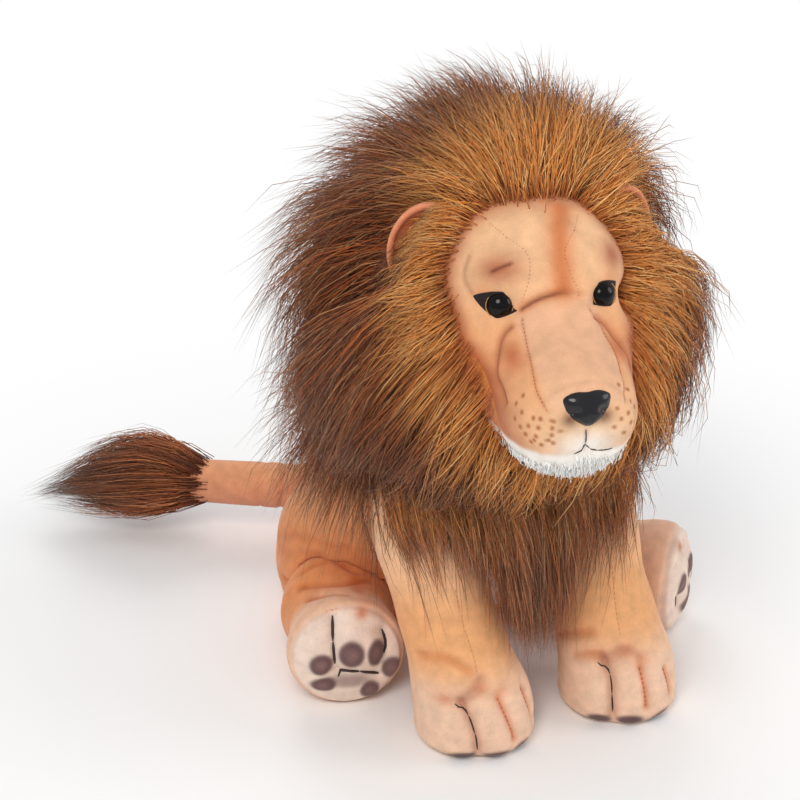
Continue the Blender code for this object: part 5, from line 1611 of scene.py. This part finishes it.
def mane_panel(name, locks, per_lock, around_low, around_high, ahead_low, ahead_high):
    around, ahead = mane_roots(locks, around_low, around_high, ahead_low, ahead_high)
    lines = mane_locks(around, ahead)
    around, ahead = np.repeat(around, per_lock), np.repeat(ahead, per_lock)
    lock_shade = np.repeat(chance.uniform(0.86, 1.12, locks), per_lock)
    gold_length = np.repeat(chance.uniform(0.8, 1.2, locks), per_lock)
    lines = in_locks(lines, per_lock, 0.0030, 0.35, 0.30)
    out_flat = np.abs(lines[:, -1, :2]).max(axis=1) / MANE_RADII[0]
    sag = np.linspace(0, 1, FIBRE_RINGS + 1) ** 2.5
    lock_sag = np.repeat(chance.uniform(0.3, 1, locks), per_lock)[:, None]
    lines[:, :, 2] -= out_flat[:, None] * sag[None] * lock_sag * TIP_SAG
    count = len(lines)
    stray = chance.uniform(0, 1, count) < STRAY_SHARE
    lines[stray] = lines[stray, :1] + (lines[stray] - lines[stray, :1]) * chance.uniform(1.00, 1.10,
                                                                                         (stray.sum(), 1, 1))
    lines, free = cut_before_ears(lines)
    lines, around, ahead, lock_shade, gold_length, stray = (
        kept[free] for kept in (lines, around, ahead, lock_shade, gold_length, stray))
    count = len(lines)
    length = np.linalg.norm(lines[:, -1] - lines[:, 0], axis=1)
    from_face = np.radians(ahead - hairline(around)) * HEAD_HALF_HEIGHT
    reach = np.interp(around, *np.array(GOLD_REACH).T) * gold_length
    turn = (reach - from_face) / length
    golden = np.clip(turn / 0.2 + 0.5, 0, 1)[:, None]
    near_face = np.clip(1 - from_face / 0.010, 0, 1)[:, None]
    lines = on_head(lines.reshape(-1, 3)).reshape(lines.shape)
    floor = BEARD_FLOOR + chance.uniform(0, 0.032, (count, 1))
    lines[:, :, 2] = np.maximum(lines[:, :, 2], floor)
    shade = (lock_shade * chance.uniform(0.86, 1.14, count))[:, None]
    root = DARK_ROOT + (GOLD_ROOT + (FACE_RUST - GOLD_ROOT) * near_face - DARK_ROOT) * golden
    dark_near, dark_tip = chosen(count, DARKS), chosen(count, DARK_TIPS)
    near = dark_near + (chosen(count, GOLDS) - dark_near) * golden
    tip = dark_tip + (chosen(count, GOLD_TIPS) - dark_tip) * np.clip((turn - 0.75) / 0.3, 0, 1)[:, None]
    near[stray] = tip[stray] = dark_near[stray] = STRAY_BLACK
    thick = np.where(stray, 0.00012, chance.uniform(0.00018, 0.00030, count))
    piece = fur(name + "_fur", lines, thick, (root * shade, near * shade, dark_near * shade, tip * shade),
                turn)
    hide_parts(name)
    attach(piece, "head")


def ruff_end(around):
    return np.maximum(hairline(around) + RUFF_WIDTH, 84)


def back_end(around):
    return np.full(len(around), float(BACK_END))


def nape_end(around):
    return np.full(len(around), float(NAPE_END))


MANE_PANELS = (
    ("mane_front_crown", 560, -CROWN_HALF_ANGLE, CROWN_HALF_ANGLE, hairline, ruff_end),
    ("mane_front_right", 680, -CHEEK_ANGLE, -CROWN_HALF_ANGLE, hairline, ruff_end),
    ("mane_front_left", 600, CROWN_HALF_ANGLE, CHEEK_ANGLE, hairline, ruff_end),
    ("mane_front_under", 380, CHEEK_ANGLE, 360 - CHEEK_ANGLE, hairline, ruff_end),
    ("mane_back_crown", 460, -CROWN_HALF_ANGLE, CROWN_HALF_ANGLE, ruff_end, back_end),
    ("mane_back_right", 700, -CHEEK_ANGLE, -CROWN_HALF_ANGLE, ruff_end, back_end),
    ("mane_back_left", 500, CROWN_HALF_ANGLE, CHEEK_ANGLE, ruff_end, back_end),
    ("mane_back_under", 170, CHEEK_ANGLE, 360 - CHEEK_ANGLE, ruff_end, back_end),
    ("mane_back_nape", 290, -180, 180, back_end, nape_end),
)
for panel in MANE_PANELS:
    mane_panel(panel[0], panel[1], 10, *panel[2:])


# Under the long pile lies the matted underfur, golden by the face and dark behind it.
# It closes the mane so that no knitted backing shows between the locks.
UNDERFUR_SHARE = 0.56
UNDERFUR_RISE = 26


def underfur_place(turn_share, share):
    around = turn_share * 360 - 180
    line = hairline(around)
    ahead = line - 3 + (NAPE_END - line + 3) * share
    ways = face_ways(around, ahead)
    rise = np.clip((ahead - line) / UNDERFUR_RISE, 0, 1)
    rise = rise * rise * (3 - 2 * rise)
    skin = head_reach(ways)
    lift = skin + (mane_reach(ways) * UNDERFUR_SHARE - skin).clip(0) * rise + 0.0012 * drift(ways * 0.05,
                                                                                             0.004, 5) * rise
    lift = np.where(share <= 0, skin * 0.5, np.where(ahead < line, skin - 0.001, lift))
    for _, side in SIDES:
        middle, _, _, _ = ear_frame(side)
        apart = np.degrees(np.arccos(np.clip(ways @ (middle - HEAD_MIDDLE)
                                             / np.linalg.norm(middle - HEAD_MIDDLE), -1, 1)))
        lift = skin + (lift - skin) * np.clip((apart - 30) / 12, 0, 1)
    places = on_head(HEAD_MIDDLE + ways * lift[:, None])
    places[:, 2] = np.maximum(places[:, 2], BEARD_FLOOR + 0.022)
    return places


underfur = rolled("mane_underfur", 150, 96, underfur_place)
underfur_around, underfur_ahead = round_angles(places_of(underfur))
underfur_gold = np.interp(underfur_around, *np.array(GOLD_REACH).T)
underfur_from_face = np.radians(underfur_ahead - hairline(underfur_around)) * HEAD_HALF_HEIGHT
underfur_golden = np.clip((underfur_gold * 0.7 - underfur_from_face) / 0.012 + 0.5, 0, 1)
tint(underfur, sprayed(np.tile(DARK_ROOT * 1.2, (len(underfur_golden), 1)), underfur_golden, GOLD_ROOT))
underfur.data.materials.append(plush_cloth("mane_underfur", 500.0, 220.0))
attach(underfur, "head")


# Short golden fur fills the ears and lies between them and the face.
# It is the same pile as the ruff, trimmed, so that it leaves the rims of the ears free.
def ear_fur(side_name, side):
    middle, facing, long_way, short_way = ear_frame(side)
    count = 430
    across = chance.uniform(-1.0, 0.42, count)
    along = chance.uniform(-0.95, 0.72, count)
    within = np.hypot(across, along) < 0.94
    across, along = across[within], along[within]
    depth = -(EAR_DEPTH - EAR_CLOTH) * np.sqrt(np.clip(1 - across ** 2 - along ** 2, 0, 1))
    roots = (middle + long_way * (along * EAR_HALF_LENGTH)[:, None]
             + short_way * (across * EAR_HALF_WIDTH)[:, None] + facing * depth[:, None])
    end_across = across * 0.75 + 0.18 + chance.normal(size=len(across)) * 0.08
    end_along = along * 0.85 - 0.34 + chance.normal(size=len(across)) * 0.10
    ease = np.minimum(1, 0.84 / np.maximum(np.hypot(end_across, end_along.clip(-0.2)), 0.01))
    tips = (middle + long_way * (end_along * ease * EAR_HALF_LENGTH)[:, None]
            + short_way * (end_across * ease * EAR_HALF_WIDTH)[:, None]
            + facing * chance.uniform(0.001, 0.006, len(across))[:, None])
    bends = (roots + tips) / 2 + facing * 0.005
    lines = in_locks(curved(roots, bends, tips), 5, 0.0009, 0.3, 0.15)
    around, ahead = mane_roots(270, -88, -30, hairline, lambda turn: hairline(turn) + 13)
    around = around * -side
    ways = face_ways(around, ahead)
    front_roots = HEAD_MIDDLE + ways * (head_reach(ways) - 0.001)[:, None]
    out_ways = face_ways(around + side * 20, ahead + 26)
    out_step = out_ways - ways * (out_ways * ways).sum(axis=1)[:, None]
    out_step /= np.linalg.norm(out_step, axis=1)[:, None]
    front_tips = front_roots + (out_step * 0.024 + ways * 0.012) * chance.uniform(0.7, 1.15, (len(ways), 1))
    front_bends = (front_roots + front_tips) / 2 + ways * 0.008
    front_bends[:, 1] -= 0.008
    front_tips[:, 1] -= 0.007
    front_lines = in_locks(curved(front_roots, front_bends, front_tips), 8, 0.0022, 0.3, 0.3)
    front_lines, shown = cut_before_ears(front_lines)
    front_lines = front_lines[shown]
    lines = np.concatenate((lines, front_lines))
    total = len(lines)
    lines = on_head(lines.reshape(-1, 3)).reshape(lines.shape)
    shade = chance.uniform(0.82, 1.14, (total, 1))
    colours = (GOLD_ROOT * shade, chosen(total, GOLDS) * shade, chosen(total, GOLDS) * shade,
               chosen(total, GOLD_TIPS) * shade)
    piece = fur("ear_fur_" + side_name, lines, chance.uniform(0.00018, 0.00028, total), colours,
                np.ones(total))
    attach(piece, "head")


for side_name, side in SIDES:
    ear_fur(side_name, side)


# The chin is a soft pad of white fur under the mouth, longer than the face's pile.
# It is sewn under the muzzle, and its fibres lie down and forward.
CHIN_MIDDLE = np.array((0.0, -0.1190, 0.0080))
CHIN_RADII = np.array((0.0205, 0.0165, 0.0070))
CHIN_HEART = np.array((0.0, -0.1200, 0.0150))
CHIN_WHITE = dye(250, 249, 247)


def chin_place(turn_share, share):
    angle = turn_share * math.tau
    open_angle = share * math.pi
    shape = np.column_stack((np.sin(open_angle) * np.cos(angle), np.sin(open_angle) * np.sin(angle),
                             np.cos(open_angle)))
    return on_head(CHIN_MIDDLE + shape * CHIN_RADII)


chin_pad = rolled("chin_pad", 64, 40, chin_place)
tint(chin_pad, np.tile(CHIN_WHITE, (len(chin_pad.data.vertices), 1)))
chin_pad.data.materials.append(plush_cloth("chin_pad_plush"))
chin_tree = tree_of(chin_pad)
chin_ways = chance.normal(size=(5200, 3))
chin_ways /= np.linalg.norm(chin_ways, axis=1, keepdims=True)
chin_start = on_head(CHIN_HEART)
chin_roots = []
chin_normals = []
for way in on_head(chin_ways) - NECK:
    hits = [tree.ray_cast(Vector(chin_start), Vector(way)) for tree in (head_tree, chin_tree)]
    place, normal, _, _ = max((hit for hit in hits if hit[0]), key=lambda hit: hit[3])
    chin_roots.append(place)
    chin_normals.append(normal)
chin_roots = np.array(chin_roots)
chin_normals = np.array(chin_normals)
chin_own = in_head(chin_roots)
white = (chin_own[:, 2] < LIP_LINE - 0.0008 - 0.0040 * np.abs(chin_own[:, 0])
         / 0.02) & (chin_own[:, 1] < -0.104)
chin_roots, chin_normals = chin_roots[white], chin_normals[white]
chin_down = np.array((0, 0, -1.0)) + chin_normals * chin_normals[:, 2:]
chin_heading = chin_normals * 0.20 + chin_down * 0.9 + chance.normal(size=chin_normals.shape) * 0.10
chin_tips = chin_roots + chin_heading * chance.uniform(0.0040, 0.0062, (len(chin_roots), 1))
chin_bends = (chin_roots + chin_tips) / 2 + chin_normals * 0.0009
chin_lines = in_locks(curved(chin_roots, chin_bends, chin_tips), 1, 0.0006, 0.0, 0.15)
chin_shades = np.minimum(CHIN_WHITE * chance.uniform(0.97, 1.04, (len(chin_lines), 1)), 1)
chin_fur = fur("chin_fur", chin_lines, chance.uniform(0.00026, 0.00042, len(chin_lines)),
               (chin_shades, chin_shades, chin_shades, chin_shades), np.ones(len(chin_lines)))
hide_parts("chin")
for piece in (chin_pad, chin_fur):
    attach(piece, "head")


# On the body the fur goes on as a collar round the back and sides of the neck, and a bib down the chest.
# It is the dark pile, sewn to the body cover, and it hangs over the shoulders and flanks.
COLLAR_AXIS = np.array((0.0, -0.070))
CHEST_DARKS = ((dye(166, 100, 62), 4), (dye(198, 110, 58), 4), (dye(126, 80, 56), 3),
               (dye(208, 164, 126), 1.8))
CHEST_TIPS = ((dye(122, 80, 60), 4), (dye(186, 106, 64), 4), (dye(206, 166, 132), 1.8))
BEARD_GOLD_FLOOR = 0.128
under_collar = [tree_of(cloth) for cloth in (body, *front_legs, *hind_legs)]


def body_fur(name, lines, per_lock, spread, gather, trees, lift, darks=CHEST_DARKS, tips=CHEST_TIPS):
    locks = len(lines)
    shade = np.repeat(chance.uniform(0.80, 1.16, locks), per_lock)
    lines = in_locks(lines, per_lock, spread, gather, 0.35)
    count = len(lines)
    stray = chance.uniform(0, 1, count) < STRAY_SHARE
    lines[stray] = lines[stray, :1] + (lines[stray] - lines[stray, :1]) * chance.uniform(1.0, 1.12,
                                                                                         (stray.sum(), 1, 1))
    lines = kept_clear(lines, trees, lift)
    shade = (shade * chance.uniform(0.86, 1.14, count))[:, None]
    near, far, tip = chosen(count, darks), chosen(count, darks), chosen(count, tips)
    near[stray] = far[stray] = tip[stray] = STRAY_BLACK
    golden = np.clip((lines[:, 0, 2] - BEARD_GOLD_FLOOR) / 0.008, 0, 1)[:, None] * (lines[:, :1, 1] < -0.11)
    root = DARK_ROOT + (GOLD_ROOT - DARK_ROOT) * golden
    near = near + (chosen(count, GOLDS) - near) * golden
    thick = np.where(stray, 0.00014, chance.uniform(0.00018, 0.00030, count))
    return fur(name, lines, thick, (root * shade, near * shade, far * shade, tip * shade),
               np.full(count, 0.5))


def collar_lines(side, locks):
    """Rows of locks from the neck down the shoulders and flanks, thinner and lower towards the front."""
    turn = chance.uniform(4, 130, locks)
    row = chance.uniform(0, 1, locks) ** 1.2
    angle = np.radians(turn)
    out = np.column_stack((side * np.sin(angle), np.cos(angle)))
    roots = np.column_stack((COLLAR_AXIS + out * (0.046 + row * 0.020)[:, None], 0.164 - row * 0.030))
    reach = 0.104 - row * 0.016 - np.clip((turn - 70) / 40, 0, 1) * 0.020
    bends = np.column_stack((COLLAR_AXIS + out * (reach * 0.84)[:, None], roots[:, 2] - 0.004))
    low = 0.118 - row * 0.032 + chance.normal(size=locks) * 0.008
    tips = np.column_stack((COLLAR_AXIS + out * (reach + chance.normal(size=locks) * 0.005)[:, None], low))
    return curved(roots, bends, tips)


def shoulder_lines(side, locks):
    """Locks from the side of the chest, hanging over the leg's top, shorter and sparser further out."""
    outward = chance.uniform(0, 1, locks) ** 3.4
    row = chance.uniform(0, 1, locks)
    roots = np.column_stack((side * (0.012 + 0.056 * outward), -0.120 + 0.014 * outward - 0.006 * row,
                             0.156 - 0.030 * row - 0.004 * outward))
    bends = np.column_stack((side * (0.014 + 0.060 * outward), -0.150 + 0.020 * outward - 0.003 * row,
                             roots[:, 2] - 0.016))
    length = (0.074 - 0.030 * outward) * chance.uniform(0.45, 1.12, locks)
    tips = np.column_stack((side * (0.010 + 0.056 * outward), -0.149 + 0.018 * outward,
                            roots[:, 2] - length))
    return curved(roots, bends, tips)


def bib_lines(locks):
    """Locks down the middle of the chest, meeting in a ragged point between the front legs."""
    across = chance.uniform(-1, 1, locks)
    row = chance.uniform(0, 1, locks)
    roots = np.column_stack((across * (0.024 - 0.008 * row), -0.118 - 0.004 * row, 0.154 - 0.056 * row))
    bends = np.column_stack((across * (0.024 - 0.010 * row), -0.151 + 0.002 * row, roots[:, 2] - 0.016))
    length = chance.uniform(0.046, 0.072, locks) * (1 - 0.20 * np.abs(across))
    tips = np.column_stack((across * (0.020 - 0.013 * row), -0.151 + 0.003 * row,
                            np.maximum(roots[:, 2] - length, 0.044 + 0.010 * chance.uniform(0, 1, locks))))
    return curved(roots, bends, tips)


for side_name, side in SIDES:
    collar = body_fur("collar_fur_" + side_name, collar_lines(side, 190), 10, 0.0038, 0.25, under_collar,
                      0.0020,
                      DARKS, DARK_TIPS)
    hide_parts("mane_collar_" + side_name)
    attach(collar, "torso")
    shoulder = body_fur("shoulder_fur_" + side_name, shoulder_lines(side, 150), 10, 0.0030, 0.3,
                        under_collar, 0.0018)
    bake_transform(shoulder)
bib = body_fur("bib_fur", bib_lines(220), 10, 0.0026, 0.3, under_collar, 0.0012)
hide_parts("mane_bib")
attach(bib, "torso")


# The tail is a stuffed tube of orange plush on a round root that is sewn into the rump.
# The cloth wrinkles across it near the body.
TAIL_PIVOT = np.array((0.0, 0.06818, 0.030))
TAIL_WAY = np.array((-0.86589, 0.49992, 0.01745))
TAIL_ACROSS = np.array((-0.5, -0.86603, 0.0))
TAIL_ROOT_RADIUS = 0.0139
TAIL_LENGTH = 0.097
TAIL_TIP_SHARE = 0.88
TAIL_WRINKLES = ((0.013, 0.7, 0.0010), (0.020, -0.5, 0.0008), (0.027, 0.9, 0.0012), (0.036, -0.8, 0.0008),
                 (0.045, 0.5, 0.0009), (0.056, -0.3, 0.0005))
tail_upward = np.cross(TAIL_ACROSS, TAIL_WAY)
tail_upward *= math.copysign(1, tail_upward[2])


def tail_place(turn_share, share):
    angle = turn_share * math.tau
    first = np.clip(share / 0.12, 0, 1) * math.pi / 2
    last = np.clip((1 - share) / 0.08, 0, 1)
    along = np.clip((share - 0.12) / 0.80, 0, 1) * TAIL_LENGTH - np.cos(first) * TAIL_ROOT_RADIUS
    radius = TAIL_ROOT_RADIUS * (1 - (1 - TAIL_TIP_SHARE) * np.clip(along / TAIL_LENGTH, 0, 1))
    for place, lean, depth in TAIL_WRINKLES:
        radius = radius - depth * np.exp(-((along - place - lean * 0.004 * np.sin(angle + place * 90))
                                           / 0.0016) ** 2)
    radius = radius * np.sin(first) * np.sqrt(last)
    return (TAIL_PIVOT + TAIL_WAY * along[:, None] + TAIL_ACROSS * (radius * np.cos(angle))[:, None]
            + tail_upward * (radius * np.sin(angle))[:, None])


def tail_root_place(turn_share, share):
    angle = turn_share * math.tau
    open_angle = share * math.pi
    shape = np.column_stack((np.sin(open_angle) * np.cos(angle), np.sin(open_angle) * np.sin(angle),
                             np.cos(open_angle)))
    return TAIL_PIVOT + shape * TAIL_ROOT_RADIUS * 0.99


tail_cover = rolled("tail_cover", 96, 170, tail_place)
tail_places = places_of(tail_cover)
tail_along = (tail_places - TAIL_PIVOT) @ TAIL_WAY
# Painted shade: the underside of the tail is coloured darker.
tail_colours = sprayed(np.tile(dye(226, 158, 116), (len(tail_places), 1)),
                       np.clip(0.5 - (tail_places - TAIL_PIVOT) @ tail_upward / 0.02, 0, 1) * 0.8,
                       dye(208, 138, 112))
# Painted shade along each wrinkle, darker where the wrinkle is deeper.
for place, _, depth in TAIL_WRINKLES:
    tail_colours = sprayed(tail_colours, 260 * depth * np.exp(-((tail_along - place) / 0.002) ** 2),
                           dye(196, 112, 76))
tint(tail_cover, tail_colours)
tail_cover.data.materials.append(plush_cloth("tail_plush"))
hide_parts("tail_skin", "tail_stuffing")
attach(tail_cover, "tail")
tail_root = rolled("tail_root_cover", 48, 32, tail_root_place)
tint(tail_root, np.tile(dye(220, 146, 104), (len(tail_root.data.vertices), 1)))
tail_root.data.materials.append(plush_cloth("tail_root_plush"))
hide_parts("tail_root_stuffing")
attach(tail_root, "tail_root")


# The tuft is a brush of the dark fur, sewn round the tail's end and combed to a point.
# Its outer fibres start on the tail's end and its inner ones at the tip.
TUFT_LENGTH = 0.083
TUFT_RADIUS = 0.0275
TUFT_LIFT = 0.006
TUFT_DROOP = 0.014
TUFT_SHARES = ((0, 0.40), (0.05, 0.66), (0.16, 0.92), (0.32, 1), (0.52, 0.86), (0.74, 0.52), (0.92, 0.20),
               (1, 0.05))
TUFT_DARKS = ((dye(182, 106, 64), 5), (dye(156, 90, 56), 4), (dye(206, 142, 98), 2), (dye(122, 76, 54), 2))
TUFT_TIPS = ((dye(92, 72, 62), 4), (dye(150, 100, 74), 4), (dye(68, 56, 52), 2))
tuft_locks = 330
tuft_turn = chance.uniform(0, math.tau, tuft_locks)
tuft_out = np.sqrt(chance.uniform(0.02, 1, tuft_locks))
tuft_ring = TAIL_ACROSS * np.cos(tuft_turn)[:, None] + tail_upward * np.sin(tuft_turn)[:, None]
tuft_start = chance.uniform(-0.010, 0.004, tuft_locks) + (1 - tuft_out) * 0.006
tuft_end = TUFT_LENGTH * (0.55 + 0.47 * chance.uniform(0, 1, tuft_locks) ** 0.7)
tuft_radius = np.array([np.interp(share, *np.array(TUFT_SHARES).T) for share in tuft_end
                        / TUFT_LENGTH]) * TUFT_RADIUS
tuft_base = TAIL_PIVOT + TAIL_WAY * TAIL_LENGTH
tuft_roots = tuft_base + TAIL_WAY * tuft_start[:, None] + tuft_ring * (tuft_out * 0.0105)[:, None]
tuft_bends = (tuft_base + TAIL_WAY * (tuft_end * 0.34)[:, None]
              + tuft_ring * (tuft_out * TUFT_RADIUS * 1.28)[:, None])
tuft_bends = tuft_bends + np.array((0, 0, TUFT_LIFT))
tuft_tips = tuft_base + TAIL_WAY * tuft_end[:, None] + tuft_ring * (tuft_out * tuft_radius)[:, None]
tuft_tips[:, 2] += (TUFT_LIFT * np.sin(tuft_end / TUFT_LENGTH * math.pi)
                    - TUFT_DROOP * np.clip(tuft_end / TUFT_LENGTH, 0, 1) ** 2)
tuft = body_fur("tuft_fur", curved(tuft_roots, tuft_bends, tuft_tips), 10, 0.0016, 0.3, [], 0.0, TUFT_DARKS,
                TUFT_TIPS)
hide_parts("tail_tuft")
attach(tuft, "tail")


# The belly panel is a strip of pale grey-white fleece down the front, between the legs.
# It is sewn into the body cover and slightly padded.
BELLY_LOW = 0.08
BELLY_HIGH = 0.62
BELLY_HALF_TURN = math.radians(22)
BELLY_GREY = dye(226, 214, 206)


def belly_place(turn_share, share):
    """Front face for the first half of the shares, back face for the rest, meeting at the panel's edges."""
    inside = share > 0.5
    height = BELLY_LOW + (BELLY_HIGH - BELLY_LOW) * np.where(inside, 2 - 2 * share, 2 * share)
    angle = -math.pi / 2 + (turn_share * 2 - 1) * BELLY_HALF_TURN
    skin = body_place((angle / math.tau) % 1, SEAT_SHARE + (BODY_TOP_SHARE - SEAT_SHARE) * height)
    middle = body_axis(skin)
    outward = (skin - middle) / np.linalg.norm(skin - middle, axis=1, keepdims=True)
    edge = np.sin(np.clip(turn_share, 0, 1) * math.pi) * np.sin(np.where(inside, 2 - 2 * share, 2 * share)
                                                                * math.pi)
    puff = np.where(inside, -0.0008, 0.0006 + 0.0022 * edge ** 0.5)
    return skin + outward * puff[:, None]


belly = rolled("belly_fleece", 60, 160, belly_place)
tint(belly, np.tile(BELLY_GREY, (len(belly.data.vertices), 1)))
belly.data.materials.append(plush_cloth("belly_fleece", 900.0, 200.0))
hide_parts("belly_panel")
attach(belly, "torso")
